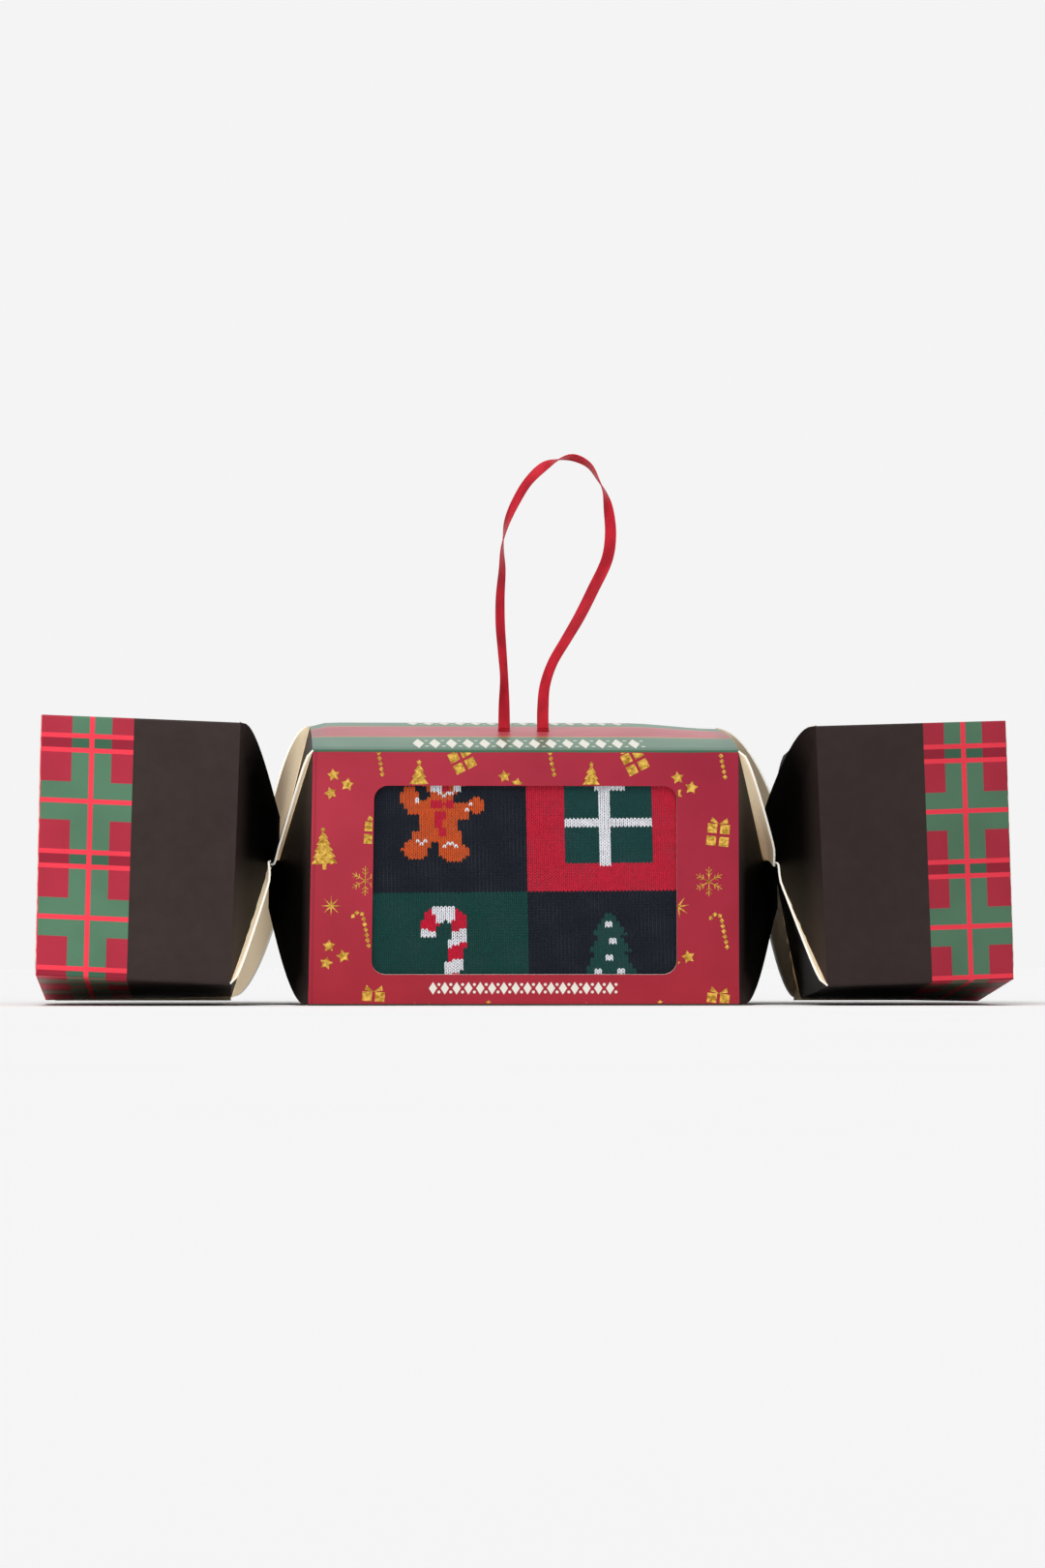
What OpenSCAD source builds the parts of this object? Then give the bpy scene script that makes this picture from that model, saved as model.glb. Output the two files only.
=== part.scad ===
// Carton christmas cracker: a windowed square box between two smaller end boxes.
// The three boxes are one folded sheet, pinched into a pyramid neck at each side of the middle box.
// X runs along the cracker, -Y is the windowed front and Z = 0 is the surface it stands on.

/* [Carton] */
// Thickness of the folding board
board = 0.5; // [0.3:0.05:0.8]
// Outer width and height of the middle box
body_w = 65; // [55:0.5:80]
// Length of the middle box
body_len = 107.5; // [90:0.5:140]
// Outer width and height of each end box
end_w = 66; // [55:0.5:80]
// Length of each end box
end_len = 48.5; // [40:0.5:70]
// Turn of the middle box about its long axis, top towards the front
body_roll = 8.5; // [2:0.5:12]
// Turn of the end boxes the other way
end_roll = 6; // [2:0.5:12]
// Rise of the top panel's middle over its long edges
crown = 1.3; // [0.5:0.1:3]
// Width of the glue flap behind the back panel's lower edge
glue_flap_w = 12; // [8:0.5:16]
// Free play between two boards that lie against each other
play = 0.2; // [0.15:0.05:0.3]

/* [Window] */
// Distance from each end of the front panel to the window
window_end = 15.65; // [12:0.05:25]
// Distance from the top fold to the window
window_drop = 9.1; // [6:0.1:14]
// Distance from the bottom fold to the window
window_rise = 7.9; // [6:0.1:14]
// Radius of the window's corners
window_r = 3.5; // [2:0.5:8]

/* [Necks] */
// Length of each half of a neck, from a box to the waist
neck_half = 10; // [8:0.5:14]
// Width across the waist
waist_w = 5; // [4:0.2:10]
// Distance from the axis to the round side of a gusset where it ends at the waist
waist_reach = 12; // [8:0.2:14]
// Distance along the neck over which a gusset stays inside the box's corner
gusset_tuck = 0.5; // [0.4:0.1:0.8]

/* [End closures] */
// Length of the lip that tucks in under the lid
lip_len = 12; // [8:0.5:14]
// Lean of the lip into the box
lip_lean = 12; // [8:1:16]
// How far the lip is narrower than the box at each side
lip_inset = 3; // [2:0.5:6]
// Depth of the dust flaps
dust_len = 17; // [10:0.5:20]
// Slope of a dust flap's upper and lower edges
dust_taper = 6.5; // [5:0.5:10]

/* [Hanging ribbon] */
// Width of the ribbon
ribbon_w = 3; // [2.4:0.1:3.4]
// Thickness of the ribbon
ribbon_t = 0.5; // [0.4:0.1:0.8]
// Distance between the two punched holes
hole_pitch = 10; // [9:0.5:14]
// Distance from the box's middle to the middle between the holes
hole_shift = 1; // [0:0.1:3]
// Radius of each punched hole
hole_r = 1.8; // [1.7:0.1:2.4]
// Distance of the knot below the top panel
knot_drop = 6; // [5:0.5:10]
// Radius of the knot
knot_r = 2.2; // [1.8:0.1:3]

/* [Socks] */
// Free length between a folded sock and each end of the middle box
sock_end_gap = 4.75; // [3:0.25:10]
// Free height over the folded socks
sock_head_gap = 2.7; // [2:0.1:8]
// Thickness of one layer of knit
knit_t = 2.3; // [1.8:0.1:2.6]
// Layers in each folded sock
sock_layers = 4; // [2:2:4]
// Thickness of the stiffener card
card_t = 0.6; // [0.4:0.1:1]
// Clearance round the socks
sock_gap = 0.3; // [0.25:0.05:0.5]

/* [Hidden] */
// Faces of a box, in the order that a quarter turn about X takes them
FACES = ["top", "front", "bottom", "back"];
SIDES = ["left", "right"];

// Overrun of a cut past the face that it goes through
cut_over = 1;

// Height of a rolled square's middle over the surface that its lowest edge stands on
function stand_h(w, roll) = w / 2 * (sin(roll) + cos(roll));
body_axis_h = stand_h(body_w, body_roll);
end_axis_h = stand_h(end_w, end_roll);
end_start = body_len / 2 + 2 * neck_half;

// Ends of the boards at a box's open end, counted back from its outer end
lid_under = board;
dust_face = end_len - lid_under - play;
side_len = dust_face - board - play;
top_len = end_len - lid_under - play;
lid_drop = end_w - board - play;
lid_edge = lid_drop - board * (1 / cos(lip_lean) + tan(lip_lean)) - play;

// Steps round the curve of a gusset and along the crown
gusset_steps = 16;
crown_steps = 12;
// How late a gusset's round side turns in towards the waist
round_power = 1.8;
// Share of a neck half at which a gusset begins and ends
gusset_start_share = 0.02;
gusset_end_share = 0.97;

// Route of the ribbon from hole to hole, as [x, y, z, turn about its own line], X from the holes' middle
loop_route = [
    [-5, -5, 71, 0], [-5, -5, 77, 20], [-5, -5, 84, 45], [-5.5, -5, 91, 40],
    [-6, -5, 98, 35], [-6, -5, 105, 40], [-5.5, -5, 112, 55], [-5.5, -5, 117, 75],
    [-5, -5, 121, 95], [-4, -5, 125, 120], [-2, -5, 129.5, 135], [1, -5, 134.5, 140],
    [5, -5, 138.5, 145], [9, -5, 140.5, 95], [13, -5, 141, 60], [17, -5, 139, 70],
    [19.5, -5, 135, 90], [21, -5, 132, 110], [22, -5, 127.5, 150], [22.5, -5, 121, 170],
    [21.5, -5, 114.5, 180], [18, -5, 107, 190], [14.5, -5, 100, 200], [11, -5, 94, 210],
    [7.5, -5, 88, 215], [5.5, -5, 82, 210], [5, -5, 76, 195], [5, -5, 71, 180]
];
// Corners of the ribbon's section, as shares of its half width and half thickness
ribbon_section_shares = [
    [1, 0.5], [0.9, 1], [-0.9, 1], [-1, 0.5], [-1, -0.5], [-0.9, -1], [0.9, -1], [1, -0.5]
];

function gusset_name(side, half, face) = str(side, "_", half, "_gusset_", face);
function panel_name(side, face) = str(side, "_end_panel_", face);

// Placement

module in_body() {
    translate([0, 0, body_axis_h]) rotate([body_roll, 0, 0]) children();
}

// An end box is drawn to the right, with its inner edge at X = 0, and mirrored for the left
module in_end(side) {
    translate([0, 0, end_axis_h]) rotate([-end_roll, 0, 0])
        mirror([side == "left" ? 1 : 0, 0, 0]) translate([end_start, 0, 0]) children();
}

function quarter_turns(face) = search([face], FACES)[0];

// Turns what is drawn as the top face to another face of the same box
module on_face(face) {
    rotate([90 * quarter_turns(face), 0, 0]) children();
}

// Lays a section of [y, z] points along X
module along_x(length) {
    rotate([90, 0, 90]) linear_extrude(length) children();
}

// Boards

function mitred_section(w) = [
    [-w / 2, w / 2], [w / 2, w / 2], [w / 2 - board, w / 2 - board], [-w / 2 + board, w / 2 - board]
];

module flat_panel(w, length) {
    along_x(length) polygon(mitred_section(w));
}

module rounded_rectangle(length, height, r) {
    square([length - 2 * r, height], center = true);
    square([length, height - 2 * r], center = true);
    for (x = [-1, 1], y = [-1, 1])
        translate([x * (length / 2 - r), y * (height / 2 - r)]) circle(r, $fn = 48);
}

module body_front_panel() {
    window_len = body_len - 2 * window_end;
    window_h = body_w - window_drop - window_rise;
    window_z = body_w / 2 - window_drop - window_h / 2;
    color("crimson") in_body() difference() {
        on_face("front") translate([-body_len / 2, 0, 0]) flat_panel(body_w, body_len);
        translate([0, -body_w / 2 + board + cut_over, window_z]) rotate([90, 0, 0])
            linear_extrude(board + 2 * cut_over)
                rounded_rectangle(window_len, window_h, window_r);
    }
}

// Rise of the crowned top panel at a share of its width
function crown_at(share) = 4 * crown * share * (1 - share);

function crown_line(w, z) = [
    for (i = [0:crown_steps])
        [w * (i / crown_steps - 1 / 2), z + crown_at(i / crown_steps)]
];

module reversed_pair_polygon(outer, inner) {
    polygon(concat(outer, [for (i = [len(inner) - 1:-1:0]) inner[i]]));
}

module body_top_panel() {
    outer = crown_line(body_w, body_w / 2);
    inner = crown_line(body_w - 2 * board, body_w / 2 - board);
    color("seagreen") in_body() difference() {
        translate([-body_len / 2, 0, 0]) along_x(body_len) reversed_pair_polygon(outer, inner);
        for (x = [-1, 1])
            translate([hole_shift + x * hole_pitch / 2, 0, body_w / 2 - board - cut_over])
                cylinder(h = board + crown + 2 * cut_over, r = hole_r, $fn = 48);
    }
}

module body_plain_panel(face, tint) {
    color(tint) in_body() on_face(face) translate([-body_len / 2, 0, 0])
        flat_panel(body_w, body_len);
}

// A flap glued inside the back panel, folded in from the bottom panel
module glue_flap(w, length) {
    flap_z = -w / 2 + board + play;
    translate([0, w / 2 - 2 * board - play / 2, flap_z]) cube([length, board, glue_flap_w]);
}

module body_glue_flap() {
    flap_len = body_len - 2 * board;
    color("wheat") in_body() translate([-flap_len / 2, 0, 0]) glue_flap(body_w, flap_len);
}

// Necks

// Half width of the pyramid at a share of the way from a box to the waist
function pyramid_half(w, share) = w / 2 + (waist_w / 2 - w / 2) * share;

function gusset_share(i) =
    gusset_start_share + (gusset_end_share - gusset_start_share) * i / gusset_steps;

// Width that a gusset's straight side leaves for the round side of its neighbour
function straight_side(w, share) =
    pyramid_half(w, share) - min(board, share * neck_half)
        - (share > gusset_start_share ? 2 * board + play : 0);

// Half width at a gusset's round side, which leaves the box's corner after the tuck
function round_side(w, share) =
    let (from = gusset_tuck / neck_half, along = max(0, (share - from) / (1 - from)))
    share < from ? pyramid_half(w, share) - board
        : w / 2 - board - (w / 2 - board - waist_reach) * pow(along, round_power);

// One gusset, hinged on the top edge of a box that ends at X = 0 and sloping in to the waist
module gusset(w, round_to) {
    drop = (w - waist_w) / 2;
    slope_len = sqrt(pow(drop, 2) + pow(neck_half, 2));
    shares = [for (i = [0:gusset_steps]) gusset_share(i)];
    round_line = [for (s = shares) [s * slope_len, round_to * round_side(w, s)]];
    straight_line = [for (s = shares) [s * slope_len, -round_to * straight_side(w, s)]];
    translate([0, 0, w / 2]) rotate([0, atan2(drop, neck_half), 0])
        translate([0, 0, -board]) linear_extrude(board)
            reversed_pair_polygon(round_line, straight_line);
}

// The round sides of the middle box's gussets point one way round, those of an end box the other
module body_gusset(side, face) {
    color("dimgray") in_body() mirror([side == "left" ? 1 : 0, 0, 0])
        translate([body_len / 2, 0, 0]) on_face(face) gusset(body_w, -1);
}

module end_gusset(side, face) {
    color("dimgray") in_end(side) on_face(face) mirror([1, 0, 0]) gusset(end_w, 1);
}

// End boxes

function end_panel_len(face) =
    face == "top" ? top_len : face == "bottom" ? end_len : side_len;

module end_panel(side, face) {
    color("firebrick") in_end(side) on_face(face) flat_panel(end_w, end_panel_len(face));
}

module end_glue_flap(side) {
    flap_len = side_len - 2 * board;
    color("wheat") in_end(side) translate([board, 0, 0]) glue_flap(end_w, flap_len);
}

// The lid hangs from the top panel's edge and covers the end of the box
module end_lid(side) {
    lid_w = end_w - 2 * play;
    color("firebrick") in_end(side)
        translate([end_len - board, -lid_w / 2, end_w / 2 - lid_edge])
            cube([board, lid_w, lid_edge]);
}

// The lip folds in from the lid's lower edge and narrows towards its free edge
module end_lid_lip(side) {
    root_w = end_w - 2 * board - 2 * play;
    tip_w = root_w - 2 * lip_inset;
    outline = [[0, -root_w / 2], [lip_len, -tip_w / 2], [lip_len, tip_w / 2], [0, root_w / 2]];
    color("wheat") in_end(side) translate([end_len, 0, end_w / 2 - lid_drop])
        mirror([1, 0, 0]) rotate([0, -lip_lean, 0]) linear_extrude(board) polygon(outline);
}

// A dust flap folds in from the front or back panel, behind the lid and above the lip
module dust_flap(side, face) {
    hinge_top = end_w / 2 - board - play - dust_taper / 5;
    tip_top = end_w / 2 - dust_taper - board - play;
    hinge_low = -end_w / 2 + board + 2 * play + dust_taper / 5;
    tip_low = -end_w / 2 + lip_len * sin(lip_lean) + dust_taper;
    outline = [
        [0, hinge_low], [0, hinge_top], [dust_len, tip_top], [dust_len, tip_low],
        [lip_inset + 2 * board, -end_w / 2 + 4 * play + 5 * board]
    ];
    color("firebrick") in_end(side) mirror([0, face == "back" ? 1 : 0, 0])
        translate([dust_face - board, -end_w / 2, 0])
            rotate([90, 0, 90]) linear_extrude(board) polygon(outline);
}

// Hanging ribbon

function unit(v) = v / norm(v);

// Direction of a route at one of its points
function route_way(route, i) =
    let (a = route[max(0, i - 1)], b = route[min(len(route) - 1, i + 1)])
    unit([b.x - a.x, b.y - a.y, b.z - a.z]);

// One ring of the ribbon, square to the route and turned about it
function ribbon_ring(route, i) =
    let (
        way = route_way(route, i),
        across = unit(cross([0, 1, 0], way)),
        depth = cross(way, across),
        turn = route[i][3],
        wide = across * cos(turn) + depth * sin(turn),
        thick = depth * cos(turn) - across * sin(turn)
    )
    [for (c = ribbon_section_shares)
        [route[i].x, route[i].y, route[i].z]
            + wide * c[0] * ribbon_w / 2 + thick * c[1] * ribbon_t / 2];

module swept_ribbon(route) {
    sides = len(ribbon_section_shares);
    rings = len(route);
    points = [for (i = [0:rings - 1]) each ribbon_ring(route, i)];
    walls = [
        for (i = [0:rings - 2], k = [0:sides - 1])
            let (n = (k + 1) % sides, a = i * sides, b = a + sides)
            each [[a + k, b + k, b + n], [a + k, b + n, a + n]]
    ];
    first = [for (k = [1:sides - 2]) [0, k, k + 1]];
    last = [for (k = [1:sides - 2]) [0, k + 1, k] + [1, 1, 1] * (rings - 1) * sides];
    polyhedron(points, concat(walls, first, last));
}

module ribbon_loop() {
    color("crimson") translate([hole_shift, 0, 0]) swept_ribbon(loop_route);
}

// The two tails go down through the punched holes and turn flat against the knot
function tail_route(x) =
    let (top_z = body_w / 2 + crown + play, knot_z = body_w / 2 - board - knot_drop)
    [
        [x * hole_pitch / 2, 0, top_z, 0],
        [x * hole_pitch / 2, 0, body_w / 2 - board, 0],
        [x * (hole_pitch / 3 + knot_r / 3), 0, knot_z + knot_drop / 3, x * 45],
        [x * (knot_r + play + ribbon_t / 2), 0, knot_z, x * 90]
    ];

module ribbon_tails() {
    color("crimson") in_body() translate([hole_shift, 0, 0])
        for (x = [-1, 1]) swept_ribbon(tail_route(x));
}

module ribbon_knot() {
    color("crimson") in_body() translate([hole_shift, 0, body_w / 2 - board - knot_drop])
        rotate([90, 0, 0]) rotate_extrude($fn = 32)
            translate([knot_r / 2, 0]) circle(knot_r / 2 - play / 2, $fn = 24);
}

// Socks

sock_len = body_len - 2 * sock_end_gap;
sock_h = body_w - 2 * board - sock_gap - sock_head_gap;
sock_t = sock_layers * knit_t;
sock_low = -body_w / 2 + board + sock_gap;
front_sock_y = -body_w / 2 + board + sock_gap;
card_y = front_sock_y + sock_t + sock_gap;
back_sock_y = card_y + card_t + sock_gap;

// Plan of a sock folded back and forth: flat layers that half rounds join at alternate ends
module folded_layers() {
    flat_len = sock_len - 2 * knit_t;
    gap = sock_gap / sock_layers;
    for (i = [0:sock_layers - 1])
        translate([-flat_len / 2, i * knit_t + gap / 2]) square([flat_len, knit_t - gap]);
    for (i = [0:sock_layers - 2])
        intersection() {
            fold_x = (i % 2 == 0 ? 1 : -1) * flat_len / 2;
            translate([fold_x, (i + 1) * knit_t]) circle(knit_t - gap / 2, $fn = 48);
            translate([i % 2 == 0 ? fold_x - gap : fold_x - 2 * knit_t, i * knit_t])
                square([2 * knit_t + gap, 2 * knit_t]);
        }
}

module folded_sock(y) {
    in_body() translate([0, y, sock_low]) linear_extrude(sock_h) folded_layers();
}

module sock_front() {
    color("darkgreen") folded_sock(front_sock_y);
}

module sock_back() {
    color("darkslateblue") folded_sock(back_sock_y);
}

module sock_card() {
    color("linen") in_body() translate([-sock_len / 2, card_y, sock_low])
        cube([sock_len, card_t, sock_h]);
}

// What each node draws

body_front_panel();
body_top_panel();
body_plain_panel("back", "crimson");  // body_back_panel
body_plain_panel("bottom", "seagreen");  // body_bottom_panel
body_glue_flap();
for (side = SIDES, face = FACES) {
    body_gusset(side, face);
    end_gusset(side, face);
    end_panel(side, face);
}
for (side = SIDES) {
    end_glue_flap(side);
    end_lid(side);
    end_lid_lip(side);
    dust_flap(side, "front");
    dust_flap(side, "back");
}
ribbon_loop();
ribbon_tails();
ribbon_knot();
sock_front();
sock_back();
sock_card();
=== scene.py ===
from math import atan, copysign, cos, degrees, hypot, pi, radians, sin, tan, tau

import bmesh
import bpy
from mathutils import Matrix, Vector
from mathutils.geometry import delaunay_2d_cdt


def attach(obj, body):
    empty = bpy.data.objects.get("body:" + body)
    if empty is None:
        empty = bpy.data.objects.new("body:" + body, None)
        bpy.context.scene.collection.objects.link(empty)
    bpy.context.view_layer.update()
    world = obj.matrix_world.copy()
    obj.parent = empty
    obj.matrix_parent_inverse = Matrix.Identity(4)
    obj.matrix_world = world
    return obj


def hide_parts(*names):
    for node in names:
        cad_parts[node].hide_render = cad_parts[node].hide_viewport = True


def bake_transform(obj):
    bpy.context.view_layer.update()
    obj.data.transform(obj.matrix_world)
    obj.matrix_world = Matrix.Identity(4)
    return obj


# A carton christmas cracker with a pair of patterned socks folded behind its window.
# Sizes are in millimetres and become the frame's metres where a mesh is made.
MM = 0.001

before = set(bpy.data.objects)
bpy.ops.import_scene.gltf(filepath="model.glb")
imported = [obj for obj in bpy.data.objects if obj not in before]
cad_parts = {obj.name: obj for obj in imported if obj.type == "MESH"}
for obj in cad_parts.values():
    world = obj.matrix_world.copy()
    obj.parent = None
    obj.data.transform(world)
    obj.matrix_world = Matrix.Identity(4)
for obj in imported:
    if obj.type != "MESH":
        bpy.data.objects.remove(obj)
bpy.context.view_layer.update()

# Camera, worked out on the photograph's 1080 by 1620 pixels

PICTURE_HEIGHT_PX = 1620
FOCAL_PX = 5461
HORIZON_BELOW_MIDDLE_PX = 174
AXIS_LEFT_OF_MIDDLE_PX = 4
SENSOR = 36
CAMERA_TURN = radians(2.9)
CAMERA_DISTANCE = 1365
CAMERA_HEIGHT = 13.4


def add_camera():
    data = bpy.data.cameras.new("photo_camera")
    data.sensor_width = SENSOR
    data.lens = SENSOR * FOCAL_PX / PICTURE_HEIGHT_PX
    camera = bpy.data.objects.new("photo_camera", data)
    bpy.context.collection.objects.link(camera)
    back = Vector((-sin(CAMERA_TURN), -cos(CAMERA_TURN), 0)) * CAMERA_DISTANCE
    camera.location = (back + Vector((0, 0, CAMERA_HEIGHT))) * MM
    pitch = atan(HORIZON_BELOW_MIDDLE_PX / FOCAL_PX)
    yaw = CAMERA_TURN + atan(AXIS_LEFT_OF_MIDDLE_PX / FOCAL_PX)
    camera.rotation_euler = (pi / 2 + pitch, 0, -yaw)
    bpy.context.scene.camera = camera


add_camera()

# Driving sizes, as in the part's source

BOARD = 0.5
PLAY = 0.2
BODY_W = 65
BODY_LEN = 107.5
BODY_ROLL = radians(8.5)
END_W = 66
END_LEN = 48.5
END_ROLL = radians(6)
CROWN = 1.3
NECK_HALF = 10
WAIST_REACH = 12
WINDOW_END = 15.65
WINDOW_DROP = 9.1
WINDOW_RISE = 7.9
WINDOW_R = 3.5
LIP_LEN = 12
LIP_LEAN = radians(12)
LIP_INSET = 3
DUST_LEN = 17
DUST_TAPER = 6.5
RIBBON_W = 3
RIBBON_T = 0.5
HOLE_PITCH = 10
HOLE_SHIFT = 1
HOLE_R = 1.8
KNOT_DROP = 6
KNOT_R = 2.2
SOCK_END_GAP = 4.75
SOCK_HEAD_GAP = 2.7
SOCK_GAP = 0.3
KNIT_T = 2.3
SOCK_LAYERS = 4
# Width and height of a stitch
WALE = 0.96
COURSE = 0.71

FACES = ("top", "front", "bottom", "back")
SIDES = {"left": -1, "right": 1}

# What the photograph adds: edges that lean towards the middle, and end boxes that turn along their length
FOLD_R = 0.5
FOLD_STEPS = 3
BODY_EDGE_OUT = 0.4
BODY_LEAN = 0.5
INNER_FOLD = {"left": 72.9, "right": 75.0}
INNER_LEAN = 1.2
OUTER_END = {"left": 122.5, "right": 123.1}
OUTER_LEAN = 0.5
INNER_LIFT = {"left": 0.25, "right": -0.3}
OUTER_LIFT = {"left": 0.8, "right": 0.1}
INNER_ROLL = radians(3.2)
OUTER_ROLL = {"left": radians(6), "right": radians(5.4)}
WAIST = {"left": 63.1, "right": 65.2}


def mix(a, b, share):
    return a + (b - a) * share


def eased(share):
    share = min(max(share, 0), 1)
    return share * share * (3 - 2 * share)


def stand_height(width, roll):
    return width / 2 * (sin(roll) + cos(roll))


BODY_AXIS = stand_height(BODY_W, BODY_ROLL)
END_AXIS = stand_height(END_W, END_ROLL)


def rolled(x, y, z, roll, height):
    return Vector((x, y * cos(roll) - z * sin(roll), height + y * sin(roll) + z * cos(roll)))


# The top panel's back fold sags towards each end of the middle box: how much and over what length
SAG = {"left": (1.1, 5), "right": (1.5, 25)}


def back_sag(x, y, z):
    drop, over = SAG["left" if x < 0 else "right"]
    along = eased((abs(x) - BODY_LEN / 2 + over) / over)
    return drop * along * eased(y / BODY_W + 0.5) * eased(2 * z / BODY_W)


def in_body(x, y, z):
    """A point of the middle box, from its own axes to the frame's."""
    lean = (BODY_EDGE_OUT - BODY_LEAN * 2 * z / BODY_W) / (BODY_LEN / 2)
    return rolled(x * (1 + lean), y, z - back_sag(x, y, z), BODY_ROLL, BODY_AXIS)


def in_end(side, x, y, z):
    """A point of an end box, with X counted outwards from its inner fold."""
    high = 2 * z / END_W
    share = x / END_LEN
    reach = mix(INNER_FOLD[side] - INNER_LEAN * high, OUTER_END[side] - OUTER_LEAN * high, share)
    roll = mix(INNER_ROLL, OUTER_ROLL[side], share)
    lift = mix(INNER_LIFT[side], OUTER_LIFT[side], share)
    return rolled(SIDES[side] * reach, y, z, -roll, END_AXIS + lift)


def on_face(face, x, across, out):
    """A point drawn on the top face, turned to another face of the same box."""
    for _ in range(FACES.index(face)):
        across, out = -out, across
    return x, across, out


# Meshes


def finished(name, verts, faces, slots, smooth=radians(35)):
    """A mesh with outward normals and one material index for each face."""
    mesh = bpy.data.meshes.new(name)
    mesh.from_pydata([v * MM for v in verts], [], faces)
    mesh.polygons.foreach_set("material_index", slots)
    sculpt = bmesh.new()
    sculpt.from_mesh(mesh)
    bmesh.ops.recalc_face_normals(sculpt, faces=sculpt.faces)
    sculpt.to_mesh(mesh)
    sculpt.free()
    mesh.shade_smooth()
    mesh.set_sharp_from_angle(angle=smooth)
    return mesh


def set_blank(mesh, points):
    """Keeps each point's place on the flat blank, in millimetres, for the printed materials."""
    attribute = mesh.attributes.new("blank", "FLOAT_VECTOR", "POINT")
    attribute.data.foreach_set("vector", [number for point in points for number in point])


def add_piece(mesh, body, materials, stands_for=(), slot=None):
    """A visible piece with its mesh's name. It rides on a body and may stand for CAD nodes."""
    thing = bpy.data.objects.new(mesh.name, mesh)
    bpy.context.collection.objects.link(thing)
    for material in materials:
        mesh.materials.append(material)
    if body:
        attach(thing, body)
    if stands_for:
        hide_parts(*stands_for)
    return thing


def swept(name, rings, closed=False):
    """A closed skin over rings of equally many points."""
    sides = len(rings[0])
    verts = [point for ring in rings for point in ring]
    count = len(rings)
    faces = []
    for i in range(count if closed else count - 1):
        a, b = i * sides, (i + 1) % count * sides
        faces += [(a + k, b + k, b + (k + 1) % sides, a + (k + 1) % sides) for k in range(sides)]
    if not closed:
        faces += [tuple(range(sides)), tuple(range((count - 1) * sides, count * sides))]
    return finished(name, verts, faces, [0] * len(faces))


# Hanging ribbon, on the same points as in the part's source: x, y, z and turn about its own line

LOOP_ROUTE = [
    (-5, -5, 71, 0), (-5, -5, 77, 20), (-5, -5, 84, 45), (-5.5, -5, 91, 40),
    (-6, -5, 98, 35), (-6, -5, 105, 40), (-5.5, -5, 112, 55), (-5.5, -5, 117, 75),
    (-5, -5, 121, 95), (-4, -5, 125, 120), (-2, -5, 129.5, 135), (1, -5, 134.5, 140),
    (5, -5, 138.5, 145), (9, -5, 140.5, 95), (13, -5, 141, 60), (17, -5, 139, 70),
    (19.5, -5, 135, 90), (21, -5, 132, 110), (22, -5, 127.5, 150), (22.5, -5, 121, 170),
    (21.5, -5, 114.5, 180), (18, -5, 107, 190), (14.5, -5, 100, 200), (11, -5, 94, 210),
    (7.5, -5, 88, 215), (5.5, -5, 82, 210), (5, -5, 76, 195), (5, -5, 71, 180),
]
ROUTE_STEPS = 6
TAIL_RISE = 0.7
SATIN_T = 0.34
# Half of the ribbon's section, as shares of its half width and half thickness
HALF_SECTION = [(1, 0.4), (0.94, 1), (0.5, 0.8), (0, 0.75), (-0.5, 0.8), (-0.94, 1), (-1, 0.4)]
RIBBON_SECTION = HALF_SECTION + [(-a, -b) for a, b in HALF_SECTION]
KNOT_HEIGHT = BODY_W / 2 - BOARD - KNOT_DROP
# A trefoil's reach for a size of 1, and how it is flattened and raised
KNOT_SPAN = 3.6
KNOT_FLAT = 0.8
KNOT_RISE = 1.1
KNOT_STEPS = 48
KNOT_SIDES = 10
KNOT_STRAND_WIDE = 0.42
KNOT_STRAND_THICK = 0.32


def smooth_route(route):
    """Extra points on a smooth curve through a route's points."""
    made = []
    for i in range(len(route) - 1):
        a, b, c, d = (route[min(max(k, 0), len(route) - 1)] for k in (i - 1, i, i + 1, i + 2))
        for s in (k / ROUTE_STEPS for k in range(ROUTE_STEPS)):
            made.append(tuple(
                q + s / 2 * (r - p + s * (2 * p - 5 * q + 4 * r - t + s * (3 * (q - r) + t - p)))
                for p, q, r, t in zip(a, b, c, d)
            ))
    return made + [route[-1]]


def heading(before, after):
    return Vector([b - a for a, b in zip(before[:3], after[:3])]).normalized()


def ribbon_rings(route):
    """Rings of the ribbon's section along a route, square to it and turned about it."""
    rings = []
    for i, (x, y, z, turn) in enumerate(route):
        way = heading(route[max(i - 1, 0)], route[min(i + 1, len(route) - 1)])
        across = Vector((0, 1, 0)).cross(way).normalized()
        depth = way.cross(across)
        angle = radians(turn)
        wide = across * cos(angle) + depth * sin(angle)
        thick = depth * cos(angle) - across * sin(angle)
        rings.append([
            Vector((x, y, z)) + wide * (a * RIBBON_W / 2) + thick * (b * SATIN_T / 2)
            for a, b in RIBBON_SECTION
        ])
    return rings


def set_ribbon_blank(mesh, route):
    """Length along the ribbon and place across it, for the weave."""
    sides = len(RIBBON_SECTION)
    run = 0
    points = []
    for i, point in enumerate(route):
        if i:
            run += (Vector(point[:3]) - Vector(route[i - 1][:3])).length
        points += [(run, k / sides, 0) for k in range(sides)]
    set_blank(mesh, points)


def tail_route(side):
    """A tail goes down through its hole and turns flat against the knot."""
    top = BODY_W / 2 + CROWN + PLAY + TAIL_RISE
    return [
        (side * HOLE_PITCH / 2, 0, top, 0),
        (side * HOLE_PITCH / 2, 0, BODY_W / 2 - BOARD, 0),
        (side * (HOLE_PITCH / 3 + KNOT_R / 3), 0, KNOT_HEIGHT + KNOT_DROP / 3, side * 45),
        (side * (KNOT_R + PLAY + RIBBON_T / 2), 0, KNOT_HEIGHT, side * 90),
    ]


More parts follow.
